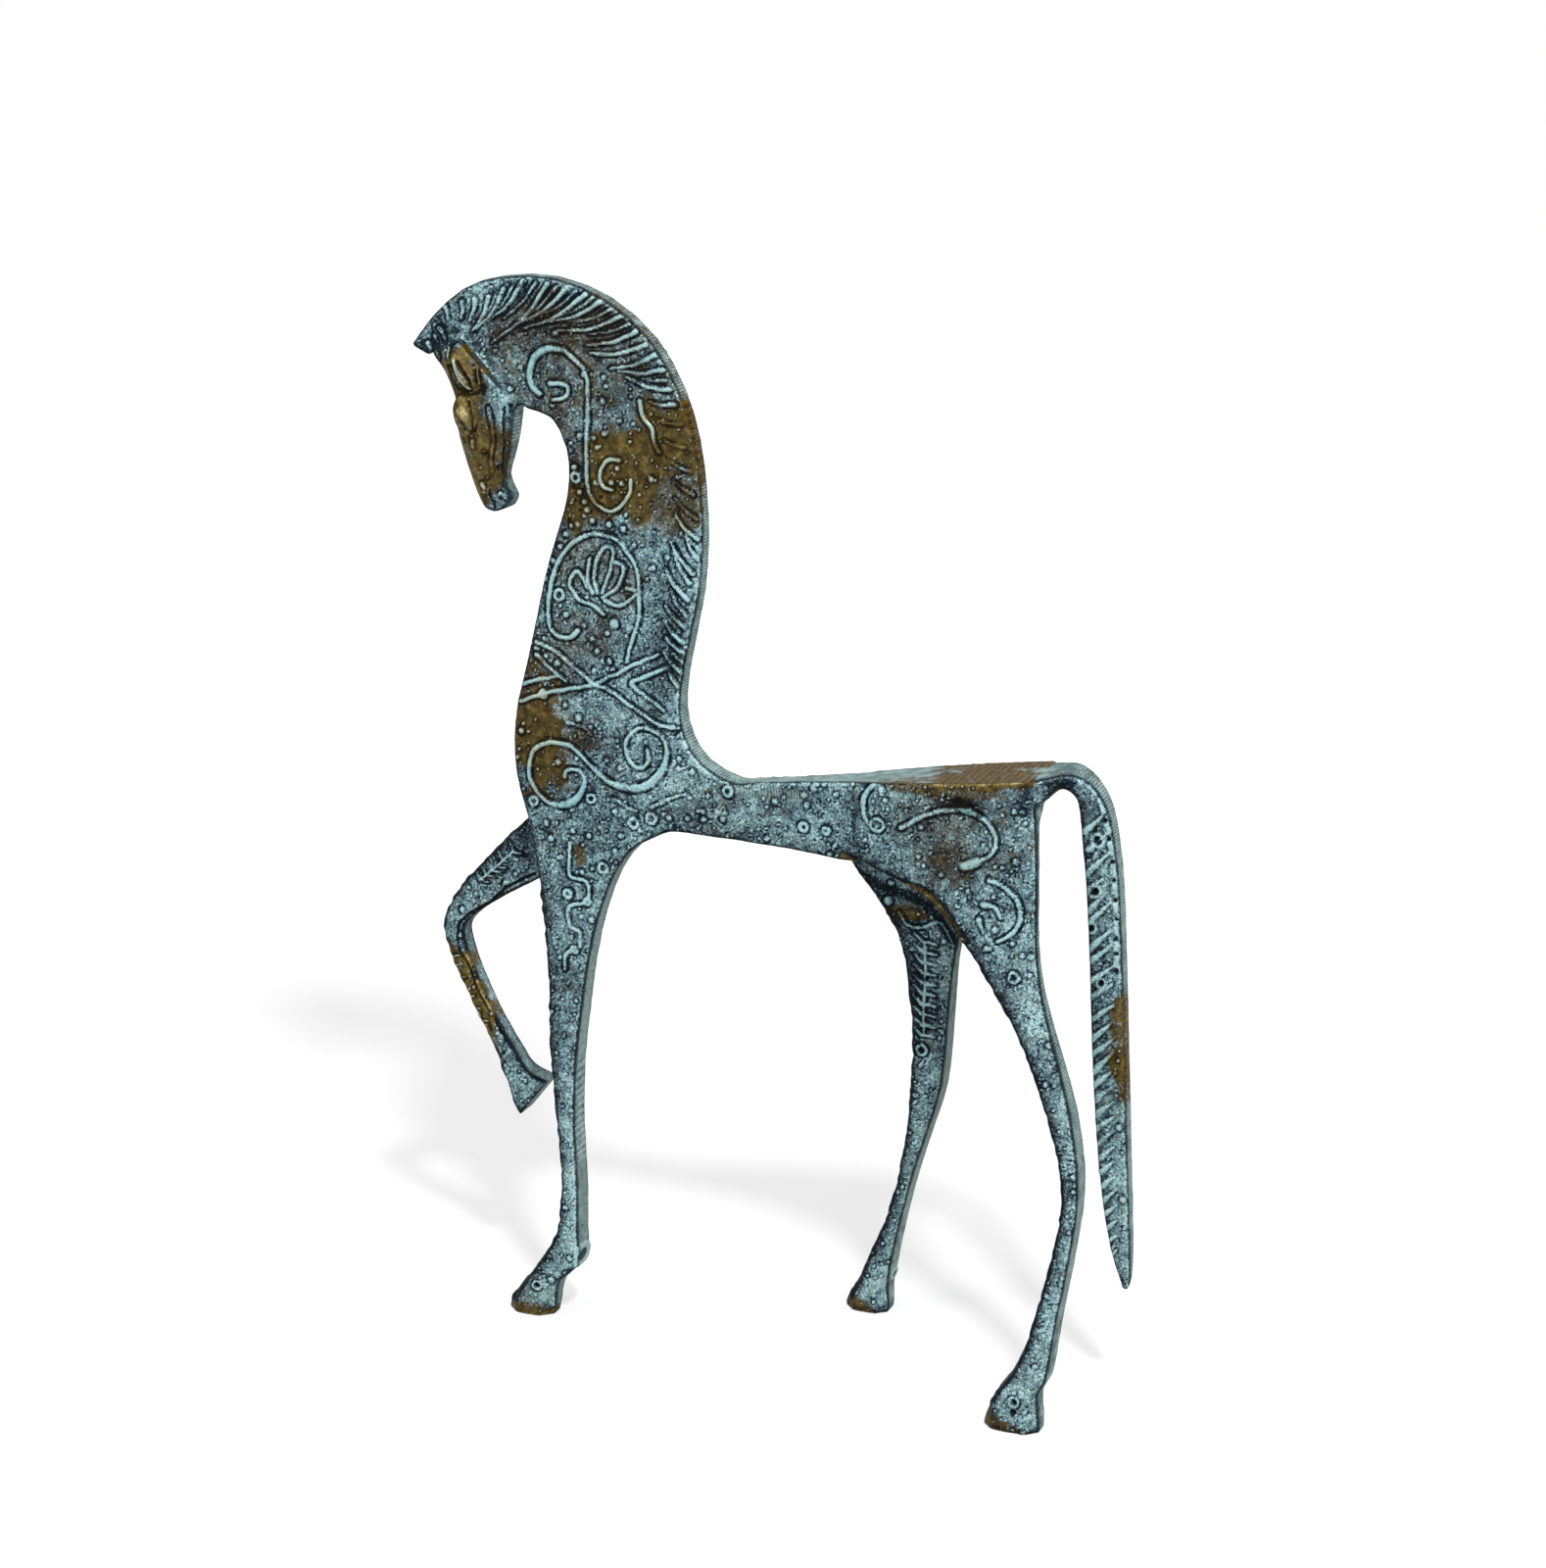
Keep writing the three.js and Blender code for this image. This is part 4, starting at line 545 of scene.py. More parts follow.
def outer_part(points, faces):
    """The largest connected part, which leaves out the small hollows inside."""
    label = np.arange(len(points))
    while True:
        lowest = label[faces].min(axis=1)
        new = label.copy()
        for k in range(4):
            np.minimum.at(new, faces[:, k], lowest)
        new = new[new]
        if np.array_equal(new, label):
            break
        label = new
    kept = label == np.bincount(label).argmax()
    index = np.cumsum(kept) - 1
    return points[kept], index[faces[kept[faces[:, 0]]]]


class Surface:
    """The skin's points with the sums over neighbours that smoothing needs."""

    def __init__(self, points, faces):
        self.points = points
        self.faces = faces
        pairs = np.sort(np.concatenate([faces[:, [k, (k + 1) % 4]] for k in range(4)]), axis=1)
        self.edges = np.unique(pairs, axis=0)
        self.degree = np.bincount(self.edges.ravel(), minlength=len(points)).astype(float)

    def mean(self, values):
        if values.ndim == 2:
            return np.stack([self.mean(column) for column in values.T], axis=1)
        a, b = self.edges.T
        total = np.bincount(a, values[b], len(values)) + np.bincount(b, values[a], len(values))
        return total / self.degree

    def smooth(self, values, times, share=0.5):
        for _ in range(times):
            values = values + share * (self.mean(values) - values)
        return values

    def spread(self, values, times, pick):
        a, b = self.edges.T
        for _ in range(times):
            new = values.copy()
            pick.at(new, a, values[b])
            pick.at(new, b, values[a])
            values = new
        return values

    def opened(self, values, times):
        return self.spread(self.spread(values, times, np.minimum), times, np.maximum)

    def normals(self):
        p = self.points
        a, b, c, d = (p[self.faces[:, k]] for k in range(4))
        across = np.cross(c - a, d - b)
        total = np.zeros_like(p)
        for axis in range(3):
            for k in range(4):
                total[:, axis] += np.bincount(self.faces[:, k], across[:, axis], len(p))
        return unit(total)


def unit(vectors):
    return vectors / np.maximum(np.linalg.norm(vectors, axis=1), 1e-12)[:, None]


def step(low, high, values):
    t = np.clip((values - low) / (high - low), 0, 1)
    return t * t * (3 - 2 * t)


def random_of(cell, seed):
    """A number from -1 to 1 for each cell of a grid, always the same for the same cell and seed."""
    mixed = np.full(len(cell), seed * 2654435, np.int64)
    for column, factor in zip(cell.T, (73856093, 19349663, 83492791)):
        mixed ^= column * factor
    mixed = (mixed ^ (mixed >> 13)) * 1274126177
    return ((mixed ^ (mixed >> 16)) & 65535) / 32767.5 - 1


def noise(points, size, seed):
    """Smooth noise from -1 to 1, with features of the given size in millimetres."""
    q = points / size + seed * 17.31
    whole = np.floor(q).astype(np.int64)
    t = q - whole
    t = t * t * (3 - 2 * t)
    total = np.zeros(len(points))
    for corner in np.ndindex(2, 2, 2):
        total += random_of(whole + corner, seed) * np.prod(np.where(corner, t, 1 - t), axis=1)
    return total


def pebbles(flat, pitch, share, sizes, seed):
    """How near each point of the side view is to a small boss strewn at random, in that boss's radii."""
    cell = np.floor(flat / pitch).astype(np.int64)
    best = np.full(len(flat), FAR_OFF)
    for offset in np.ndindex(3, 3):
        here = cell + offset - 1
        place = np.stack([random_of(here, seed), random_of(here, seed + 1)], axis=1)
        radius = sizes[0] + (sizes[1] - sizes[0]) * (random_of(here, seed + 2) / 2 + 0.5) ** 2
        away = np.linalg.norm(flat - (here + 0.5 + 0.4 * place) * pitch, axis=1) / radius
        best = np.where((random_of(here, seed + 3) < 2 * share - 1) & (away < best), away, best)
    return best


def curve_samples(one):
    """Points on a smooth line through a stroke's points, with the half width, the height and how pale
    the stroke is at each."""
    p = np.array(one["points"], float) + (TABLE_X, 0)
    ends = np.vstack([2 * p[0] - p[1], p, 2 * p[-1] - p[-2]])
    closed = len(p) > 2 and np.allclose(p[0], p[-1])
    if closed:
        ends[0], ends[-1] = p[-2], p[1]
    made = []
    for i in range(len(p) - 1):
        p0, p1, p2, p3 = ends[i:i + 4]
        count = max(2, int(np.linalg.norm(p2 - p1) / SAMPLE))
        t = np.arange(count)[:, None] / count
        made.append(0.5 * (2 * p1 + (p2 - p0) * t + (2 * p0 - 5 * p1 + 4 * p2 - p3) * t ** 2
                           + (3 * p1 - p0 - 3 * p2 + p3) * t ** 3))
    made = np.vstack(made + [p[-1:]])
    along = np.linspace(0, 1, len(made))
    half = one["wide"] / 2 * (1 + (one["end"] - 1) * along)
    high = one["high"] * (1 + 0.5 * (one["end"] - 1) * along)
    if one["swell"]:
        middle, more = one["swell"]
        half *= 1 + more * np.exp(-((along - middle) / SWELL_SPREAD) ** 2)
    return np.column_stack([made, half, high, np.full(len(made), one["pale"])])


class Relief:
    """Maps of how high the strokes stand, how deep the cuts are, and how near each place is to a stroke."""

    def __init__(self, strokes):
        samples = np.vstack([curve_samples(one) for one in strokes])
        self.low = samples[:, :2].min(axis=0) - MARGIN
        size = np.ceil((samples[:, :2].max(axis=0) + MARGIN - self.low) / CELL).astype(int) + 1
        self.height = np.zeros(size)
        self.depth = np.zeros(size)
        self.pale = np.zeros(size)  # as the height, without the broad forms
        self.nearest = np.full(size, FAR_OFF)
        wide = samples[:, 2] > WIDE
        self.stamp(samples[~wide], NARROW_REACH)
        self.stamp(samples[wide][::3], WIDE_REACH)

    def stamp(self, samples, reach):
        cells = int(np.ceil(reach / CELL))
        window = np.mgrid[-cells:cells + 1, -cells:cells + 1].reshape(2, -1).T
        for part in np.array_split(samples, max(1, len(samples) // 400)):
            if not len(part):
                continue
            cell = np.rint((part[:, None, :2] - self.low) / CELL).astype(int) + window
            cell = np.clip(cell, 0, np.array(self.height.shape) - 1)
            away = np.linalg.norm(self.low + cell * CELL - part[:, None, :2], axis=2)
            where = (cell[..., 0].ravel(), cell[..., 1].ravel())
            stands = part[:, None, 3] * np.clip(1 - (away / part[:, None, 2]) ** 2.5, 0, 1)
            np.maximum.at(self.height, where, stands.ravel())
            np.maximum.at(self.depth, where, -stands.ravel())
            np.maximum.at(self.pale, where, (stands * (part[:, 4] * (part[:, 2] < BROAD))[:, None]).ravel())
            raised = part[:, 3] > 0
            beside = away[raised] - part[raised, None, 2]
            np.minimum.at(self.nearest, (cell[raised][..., 0].ravel(), cell[raised][..., 1].ravel()),
                          beside.ravel())

    def at(self, grid, x, z, outside=0):
        u = (x - self.low[0]) / CELL
        v = (z - self.low[1]) / CELL
        i = np.clip(np.floor(u).astype(int), 0, grid.shape[0] - 2)
        j = np.clip(np.floor(v).astype(int), 0, grid.shape[1] - 2)
        s, t = u - i, v - j
        value = ((1 - s) * (1 - t) * grid[i, j] + s * (1 - t) * grid[i + 1, j]
                 + (1 - s) * t * grid[i, j + 1] + s * t * grid[i + 1, j + 1])
        inside = (s >= 0) & (s <= 1) & (t >= 0) & (t <= 1)
        return np.where(inside, value, outside)


def on_plane(points, side, depth):
    """Where the line of sight to each point, or to its mirror image for the far side, crosses the
    upright plane at that depth."""
    eye_x, eye_y, eye_z = EYE
    share = (-depth - eye_y) / (-side * points[:, 1] - eye_y)
    return np.stack([eye_x + (points[:, 0] - eye_x) * share, eye_z + (points[:, 2] - eye_z) * share], axis=1)


def casting_of(points):
    """For each point, the number of the casting whose solid is nearest."""
    best = np.full(len(points), np.inf)
    label = np.zeros(len(points), int)
    boxes = [np.array(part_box(name), float) / MM for name in CASTINGS]
    inside = np.stack([
        np.all((points > low - SEAM_REACH) & (points < high + SEAM_REACH), axis=1) for low, high in boxes
    ])
    alone = inside.sum(axis=0) == 1
    label[alone] = inside[:, alone].argmax(axis=0)
    for number, name in enumerate(CASTINGS):
        tree = BVHTree.FromPolygons(*solid_polygons(name))
        for i in np.nonzero(inside[number] & ~alone)[0]:
            distance = tree.find_nearest(Vector(points[i] * MM))[3]
            if distance < best[i]:
                best[i] = distance
                label[i] = number
    return label


def solid_polygons(name):
    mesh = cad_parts[name].data
    return [v.co for v in mesh.vertices], [tuple(p.vertices) for p in mesh.polygons]


def along_file(points):
    """How far along the filed line each point is."""
    line = np.array(FILED_LINE) + (TABLE_X, 0)
    flat = points[:, [0, 2]]
    best = np.full(len(points), np.inf)
    found = np.zeros(len(points))
    start = 0.0
    for a, b in zip(line[:-1], line[1:]):
        long = np.linalg.norm(b - a)
        t = np.clip((flat - a) @ (b - a) / long ** 2, 0, 1)
        away = np.linalg.norm(flat - a - t[:, None] * (b - a), axis=1)
        nearer = away < best
        best[nearer] = away[nearer]
        found[nearer] = (start + t * long)[nearer]
        start += long
    return found


# The skin, and what is worked into it

surface = Surface(*closed_skin())
surface.points = surface.points - CLOSING * surface.normals()
label = casting_of(surface.points)
raised = np.zeros(len(label))
moat = np.zeros(len(label))
clear = np.full(len(label), FAR_OFF)  # how far away the nearest stroke is


def on(*names):
    """Which points belong to these castings."""
    return np.isin(label, [CASTINGS.index(name) for name in names])


def from_middle(points, middle, half=(1, 1)):
    """How far points are from the middle of an oval in the side view, in its half sizes."""
    (x, z), (wide, tall) = middle, half
    return np.hypot((points[:, 0] - x - TABLE_X) / wide, (points[:, 2] - z) / tall)


def level_faces():
    """Wear the solids' coarse relief off the faces, except the head's, before the fine relief comes."""
    looks = unit(surface.smooth(surface.normals(), 8))
    for side in (NEAR, FAR):
        out = side * surface.points[:, 1]
        worn = surface.smooth(surface.opened(out, 4), 3)
        share = step(0.25, 0.6, side * looks[:, 1]) * ~on("head")
        surface.points[:, 1] += side * np.minimum(worn - out, 0) * share


def soften():
    """The voxels' steps go, but the corners between faces and filed edges stay crisp. The head and the
    tail run into the rest without a step, and the belly into the standing foreleg in one curve."""
    flatness = np.linalg.norm(surface.smooth(surface.normals(), 6), axis=1)
    surface.points = surface.smooth(surface.points, 6, (0.16 + 0.34 * step(0.86, 0.98, flatness))[:, None])
    for name in ("head", "tail"):
        joint = surface.smooth(on(name).astype(float), 30)
        joint = step(0.02, 0.3, joint) * step(0.98, 0.7, joint)
        surface.points = surface.smooth(surface.points, 26, (0.5 * joint)[:, None])
    bend = step(12, 4, from_middle(surface.points, BEND))
    surface.points[:, [0, 2]] = surface.smooth(surface.points[:, [0, 2]], 40, (0.5 * bend)[:, None])


def press(side, plane, names, strokes):
    """Work a panel's strokes into the faces of its castings that look to one side."""
    relief = Relief(strokes)
    here = on(*names) & (side * facing[:, 1] > 0.2)
    points = surface.points[here]
    u, v = on_plane(points, side, plane).T
    u = u + WAVER * noise(points, 2.6, 21)
    v = v + WAVER * noise(points, 2.6, 22)
    share = step(0.4, 0.75, side * facing[here][:, 1])
    uneven = 1 + 0.3 * noise(points, 3.4, 23)
    height = relief.at(relief.height, u, v) * share * uneven
    deep = relief.at(relief.depth, u, v) * share
    beside = relief.at(relief.nearest, u, v, FAR_OFF)
    ditch = step(-0.15, 0.1, beside) * step(0.95, 0.4, beside) * share
    ditch *= np.clip(0.62 + 0.75 * noise(points, 2.1, 24), 0.1, 1)
    if "tail" in names:
        ditch *= TAIL_DITCH
    surface.points[here, 1] += side * (height - deep - DITCH * ditch)
    kept = np.clip(0.8 + 0.6 * noise(points, 6, 25), 0.3, 1.1)
    raised[here] = np.maximum(raised[here], relief.at(relief.pale, u, v) * share * uneven * kept / 0.5)
    moat[here] = np.maximum.reduce([moat[here], ditch, deep / 0.35])
    clear[here] = np.minimum(clear[here], beside)


def strew(side):
    """Small bosses at random over the faces that look to one side, clear of the strokes."""
    here = side * facing[:, 1] > 0.3
    flat = on_plane(surface.points[here], side, 0)
    away = np.minimum(*[pebbles(flat, *kind, seed + side) for *kind, seed in BOSSES])
    share = step(0.5, 0.8, side * facing[here][:, 1]) * step(0.5, 1, clear[here]) * ~on("head")[here]
    boss = np.clip(1 - away ** 2.5, 0, 1) * share
    rim = step(0.95, 1.15, away) * step(2, 1.4, away) * share
    surface.points[here, 1] += side * (BOSS_HEIGHT * boss - BOSS_DITCH * rim)
    raised[here] = np.maximum(raised[here], 0.75 * boss)
    moat[here] = np.maximum(moat[here], 0.6 * rim)


def rear_ring(name, middle, half):
    here = on(name) & (facing[:, 0] > 0.45)
    away = np.hypot(*((surface.points[here][:, 1:] - middle) / half).T)
    bead = step(0.45, 0.2, np.abs(away - 1))
    surface.points[here, 0] += BEAD_HEIGHT * bead
    raised[here] = np.maximum(raised[here], 1.2 * bead)
    moat[here] = np.maximum(moat[here], step(0.75, 0.5, away))


def spots(table, fade):
    """Ragged ovals on the castings: the strongest above 0 and below 0 at each point."""
    ragged = 0.3 * noise(surface.points, 7, 31) + 0.22 * noise(surface.points, 2.4, 32)
    above, below = np.zeros(len(label)), np.zeros(len(label))
    for name, ovals in table.items():
        here = on(name)
        for middle, half, strength in ovals:
            value = strength * step(*fade, from_middle(surface.points[here], middle, half) + ragged[here])
            above[here] = np.maximum(above[here], value)
            below[here] = np.minimum(below[here], value)
    return above + below


def lumpy(height, size, seed):
    return height * noise(surface.points, size, seed)


def corners(strength, edge):
    """Strongest where a face turns into a filed edge."""
    return strength * 4 * edge * (1 - edge)


level_faces()
soften()
facing = unit(surface.smooth(surface.normals(), 3))
for side in (NEAR, FAR):
    for panel in panels_of(side):
        press(side, *panel)
for side in (NEAR, FAR):
    strew(side)
for one in REAR_RINGS:
    rear_ring(*one)

# Which places are filed, rubbed, paler and darker

filed = step(0.66, 0.42, np.abs(facing[:, 1]))
corner = surface.smooth(filed, 4)
leg_corner = surface.smooth(filed, 10)
patch = step(1.1, 0.85, from_middle(surface.points, *FILED_PATCH))
filed = np.maximum(filed, 0.85 * patch * on("neck_and_trunk"))
# how much the faces look up or back, for the painted light beside such edges and the painted shade beside the
# others
upward = np.clip(1.5 * (facing[:, 0] + 0.8 * facing[:, 2]), -1, 1) * ~on("raised_foreleg")
rub = spots(RUBBED, (1.25, 0.6))
tone = spots(PATINA_TONES_AND_PAINTED_LIGHT, (1.3, 0.3))

# The ridge along the near groin is rubbed, and what lies under it gets painted shade, the far leg's side
# most.

ridge = Relief([stroke(GROIN, (3, 1, 1))])
under = Relief([stroke(UNDER_GROIN, (3.8, 1, 1))])
here = on(*GROIN_CASTINGS) & (facing[:, 1] < -0.1)
u, v = on_plane(surface.points[here], NEAR, HAUNCH_PLANE).T
own = surface.points[here][:, 1] < 0
rub[here] = np.maximum(rub[here], 0.75 * own * ridge.at(ridge.height, u, v))
tone[here] -= 0.5 * (1 - 0.5 * own) * under.at(under.height, u, v)

# Lumps of the casting, least on the filed edges, except the crumbling front edges of the legs

on_leg = on(*LEGS)
crumbling = step(0.25, 0.7, -facing[:, 0]) * on_leg
lumps = sum(lumpy(*one) for one in LUMPS)
lumps = lumps * (1 - 0.65 * filed * (1 - crumbling)) * (1 - 0.5 * rub)
lumps += crumbling * lumpy(*CRUMBS)
surface.points += facing * lumps[:, None]

# The marks that the patina follows, with the painted light and shade among them

hollow = np.einsum("ij,ij->i", surface.smooth(surface.points, 5) - surface.points, surface.normals())
# Painted light beside the rear corners of the legs, and painted shade near their front edges
front = surface.smooth(crumbling, 70)
rear_painted_light = on_leg * step(0.04, 0.22, surface.smooth(filed, 14)) * (1 - filed) * (1 - step(0.03, 0.2, front))
filed = filed * np.where(on("raised_foreleg"), 0.35, 1)
MARKS = {
    "raised": np.clip(raised, 0, 1),
    "moat": np.clip(moat, 0, 1),
    "rub": rub,
    "filed": filed,
    "corner": np.where(on_leg, corners(LEG_CORNER_DARK, leg_corner), corners(CORNER_DARK, corner)),
    "rim": 2 * surface.smooth(filed * upward, 24),  # painted light, beside the edges that look up or back
    "shade": 2 * surface.smooth(filed * np.minimum(upward, 0), 110),  # painted shade, below 0 near the others
    # tone: the patina's paler and darker places with painted highlights and shade among them, painted light
    # beside the rear corners of the legs and painted shade beside their front corners
    "tone": tone + LEG_REAR_PAINTED_LIGHT * rear_painted_light - LEG_FRONT_PAINTED_SHADE * front,
    "hollow": np.clip(hollow / 0.25, -1, 1),
    "along": along_file(surface.points),
}


# Materials


FILE_STROKES = 0.95  # mm from one stroke of the file to the next
CUT_STROKES = 2.3  # the same of the coarser cuts on the bare top of the rump


def srgb(code):
    parts = [int(code[i:i + 2], 16) / 255 for i in (1, 3, 5)]
    return [c / 12.92 if c <= 0.04045 else ((c + 0.055) / 1.055) ** 2.4 for c in parts] + [1]


class Nodes:
    """A node tree, with short calls for the nodes that it is made of."""

    def __init__(self, owner):
        owner.use_nodes = True
        self.tree = owner.node_tree

    def node(self, kind, inputs=(), **settings):
        made = self.tree.nodes.new(kind)
        for key, value in settings.items():
            setattr(made, key, value)
        for key, value in dict(inputs).items():
            self.set(made.inputs[key], value)
        return made

    def set(self, socket, value):
        if isinstance(value, bpy.types.NodeSocket):
            self.tree.links.new(value, socket)
        else:
            socket.default_value = value

    def math(self, operation, *values, clamp=False):
        return self.node("ShaderNodeMath", enumerate(values), operation=operation, use_clamp=clamp).outputs[0]

    def sum(self, *values):
        total = values[0]
        for value in values[1:]:
            total = self.math("ADD", total, value)
        return total

    def times(self, a, b):
        return self.math("MULTIPLY", a, b)

    def swing(self, value, share):
        """How far a noise is from its middle, times a share."""
        return self.times(self.math("SUBTRACT", value, 0.5), share)

    def band(self, value, low, high, start=0, end=1):
        inputs = {"Value": value, "From Min": low, "From Max": high, "To Min": start, "To Max": end}
        return self.node("ShaderNodeMapRange", inputs, interpolation_type="SMOOTHSTEP").outputs["Result"]

    def ramp(self, value, stops):
        made = self.node("ShaderNodeValToRGB", {"Fac": value})
        colours = made.color_ramp.elements
        colours[0].position, colours[0].color = stops[0][0], srgb(stops[0][1])
        colours[1].position, colours[1].color = stops[-1][0], srgb(stops[-1][1])
        for position, code in stops[1:-1]:
            colours.new(position).color = srgb(code)
        return made.outputs["Color"]

    def mix(self, share, a, b):
        made = self.node("ShaderNodeMix", data_type="RGBA", clamp_factor=True)
        self.set(made.inputs[0], share)
        self.set(made.inputs[6], a)
        self.set(made.inputs[7], b)
        return made.outputs[2]


class Shader(Nodes):
    """A material, with its noise in the object's own space."""

    def __init__(self, name):
        self.material = bpy.data.materials.new(name)
        super().__init__(self.material)
        self.inputs = self.tree.nodes["Principled BSDF"].inputs
        self.place = self.node("ShaderNodeTexCoord").outputs["Object"]

    def mark(self, name):
        return self.node("ShaderNodeAttribute", attribute_name=name).outputs["Fac"]

    def noise(self, scale, detail=2, rough=0.5, warp=0):
        shape = {"Scale": scale, "Detail": detail, "Roughness": rough, "Distortion": warp}
        return self.node("ShaderNodeTexNoise", {"Vector": self.place, **shape}).outputs["Fac"]

    def cells(self, scale):
        return self.node("ShaderNodeTexVoronoi", {"Vector": self.place, "Scale": scale}).outputs["Distance"]

    def bump(self, height, strength, distance):
        inputs = {"Height": height, "Strength": strength, "Distance": distance * MM}
        self.set(self.inputs["Normal"], self.node("ShaderNodeBump", inputs).outputs[0])


def cast_bronze(name):
    """Patinated cast bronze: pale verdigris on what stands up, dark in the hollows, bare where rubbed."""
    s = Shader(name)
    raised, moat, rub, filed, hollow, along, corner, rim, shade, tone = (
        s.mark(mark) for mark in
        ("raised", "moat", "rub", "filed", "hollow", "along", "corner", "rim", "shade", "tone"))
    fine = s.noise(1900, 2, 0.6)
    grain = s.noise(950, 3, 0.6, 0.5)
    mottle = s.noise(290)
    patch = s.noise(75)
    granule = s.band(s.cells(760), 0.12, 0.55, 1, 0)
    on_face = s.sum(1, s.times(filed, -1))
    hatch = s.sum(s.times(along, math.tau / FILE_STROKES), s.times(grain, 4), s.times(mottle, 5))
    hatch = s.math("SINE", hatch)

    # The patina, browner and thinner around the rubbed places
    # rim adds painted light beside the edges that look up or back, shade adds painted shade beside the
    # others, and tone carries painted light and shade as well as the patina's own tones
    pale = s.sum(
        s.swing(grain, 1.4), s.swing(fine, 1.5), s.swing(granule, 0.3), s.swing(mottle, 0.7),
        s.swing(patch, 0.55), s.times(raised, 0.32), s.times(moat, -0.68), s.times(hollow, -0.25),
        s.times(corner, -0.6), s.times(s.band(rim, 0.08, 0.45), 0.36), s.times(shade, 0.45), tone, 0.68)
    thick = s.ramp(pale, [
        (0, "#0F181F"), (0.2, "#212E36"), (0.36, "#42545D"), (0.52, "#627A85"), (0.68, "#80A3A9"),
        (0.84, "#9FCACB"), (1, "#C6E5E5"),
    ])
    thin = s.ramp(pale, [
        (0, "#17130E"), (0.3, "#3A342B"), (0.55, "#6B685E"), (0.8, "#99A39D"), (1, "#C6D2CC"),
    ])
    thinness = s.band(s.sum(rub, s.swing(s.noise(55, 3, 0.6), 1.1)), 0.06, 0.5, 0, 0.7)
    crust = s.band(s.sum(raised, s.swing(grain, 1.6)), 0.3, 1.1, 0, 0.6)
    patina = s.mix(crust, s.mix(thinness, thick, thin), srgb("#8FC4C9"))

    # The bare bronze, with specks of patina and, where it is filed, the cuts of the file
    uneven = s.noise(420, 4, 0.6)
    # shade and tone paint shade and highlights into the bare bronze too, up to the pale end of its ramp on
    # the head's ear and brow
    bare = s.ramp(
        s.sum(uneven, s.times(hollow, -0.25), s.times(moat, -0.35), s.times(shade, 0.3), s.times(tone, 0.6)),
        [(0.2, "#211B0F"), (0.48, "#4B3F21"), (0.74, "#756539"), (1, "#B3A77C")])
    places = s.band(s.sum(s.noise(260, 1), s.times(rub, -0.2), 0.2), 0.5, 0.58)
    speck = s.times(s.band(s.cells(560), 0.05, 0.24, 1, 0), places)
    speck = s.math("MAXIMUM", speck, s.band(raised, 0.25, 0.6))
    bare = s.mix(s.times(speck, 0.8), bare, srgb("#A9C0B6"))
    strokes = s.sum(s.times(along, math.tau / CUT_STROKES), s.times(mottle, 6), s.times(patch, 5))
    strokes = s.math("SINE", strokes)
    cut = s.ramp(s.sum(s.times(hatch, 0.12), s.times(strokes, 0.16), uneven),
                 [(0.15, "#1E1500"), (0.5, "#483600"), (0.85, "#765900")])
    bare = s.mix(filed, bare, cut)

    # The filed edges
    edge = s.ramp(
        s.sum(s.times(hatch, 0.28), s.swing(mottle, 1.1), s.swing(fine, 0.7), s.times(corner, -0.7),
              s.times(raised, 0.8), s.times(moat, -0.9), s.times(tone, 0.9), 0.5),
        [(0.1, "#334246"), (0.5, "#748A8A"), (0.9, "#AAC2BE")])

    worn = s.band(s.sum(rub, s.swing(s.noise(170, 4, 0.65), 1.3), s.swing(grain, 3), s.swing(fine, 1.8),
                        s.times(raised, -0.2)), 0.3, 0.7)
    bare_face = s.times(worn, on_face)
    s.set(s.inputs["Base Color"], s.mix(worn, s.mix(s.times(filed, 0.8), patina, edge), bare))
    s.set(s.inputs["Metallic"], s.sum(0.05, s.times(bare_face, 0.5), s.times(filed, 0.05)))
    s.inputs["Specular IOR Level"].default_value = 0.03
    s.set(s.inputs["Roughness"], s.sum(0.6, s.times(worn, -0.18), s.times(filed, -0.04), s.swing(grain, 0.4)))
    rough = s.sum(s.times(grain, 1.2), s.times(fine, 0.4), s.times(granule, 0.4), s.times(mottle, 0.6))
    rough = s.times(rough, s.sum(s.times(on_face, 0.8), 0.2, s.times(bare_face, -0.5)))
    s.bump(s.sum(rough, s.times(s.times(hatch, filed), 0.14)), 1.0, 0.3)
    return s.material


def plain_bronze(name):
    """The bare bronze of the hidden pins."""
    s = Shader(name)
    tone = s.noise(260, 3, 0.6)
    s.set(s.inputs["Base Color"], s.ramp(tone, [(0.2, "#6B4E22"), (0.8, "#A67F3C")]))
    s.inputs["Metallic"].default_value = 0.9
    s.set(s.inputs["Roughness"], s.band(tone, 0.2, 0.8, 0.32, 0.5))
    s.bump(s.noise(900), 0.4, 0.1)
    return s.material


# The pieces, cut from the skin along the castings' seams and closed there


def piece_of(number, name):
    faces = surface.faces[label[surface.faces[:, 0]] == number]
    used = np.unique(faces)
    index = np.full(len(surface.points), -1)
    index[used] = np.arange(len(used))
    mesh = bpy.data.meshes.new(name)
    mesh.vertices.add(len(used))
    mesh.vertices.foreach_set("co", (surface.points[used] * MM).ravel())
    mesh.loops.add(faces.size)
    mesh.loops.foreach_set("vertex_index", index[faces].ravel().astype(np.int32))
    mesh.polygons.add(len(faces))
    mesh.polygons.foreach_set("loop_start", np.arange(0, faces.size, 4, dtype=np.int32))
    mesh.update(calc_edges=True)
    for mark, values in MARKS.items():
        mesh.attributes.new(mark, "FLOAT", "POINT").data.foreach_set("value", values[used].astype(np.float32))
    close_seams(mesh)
    return linked(name, mesh)


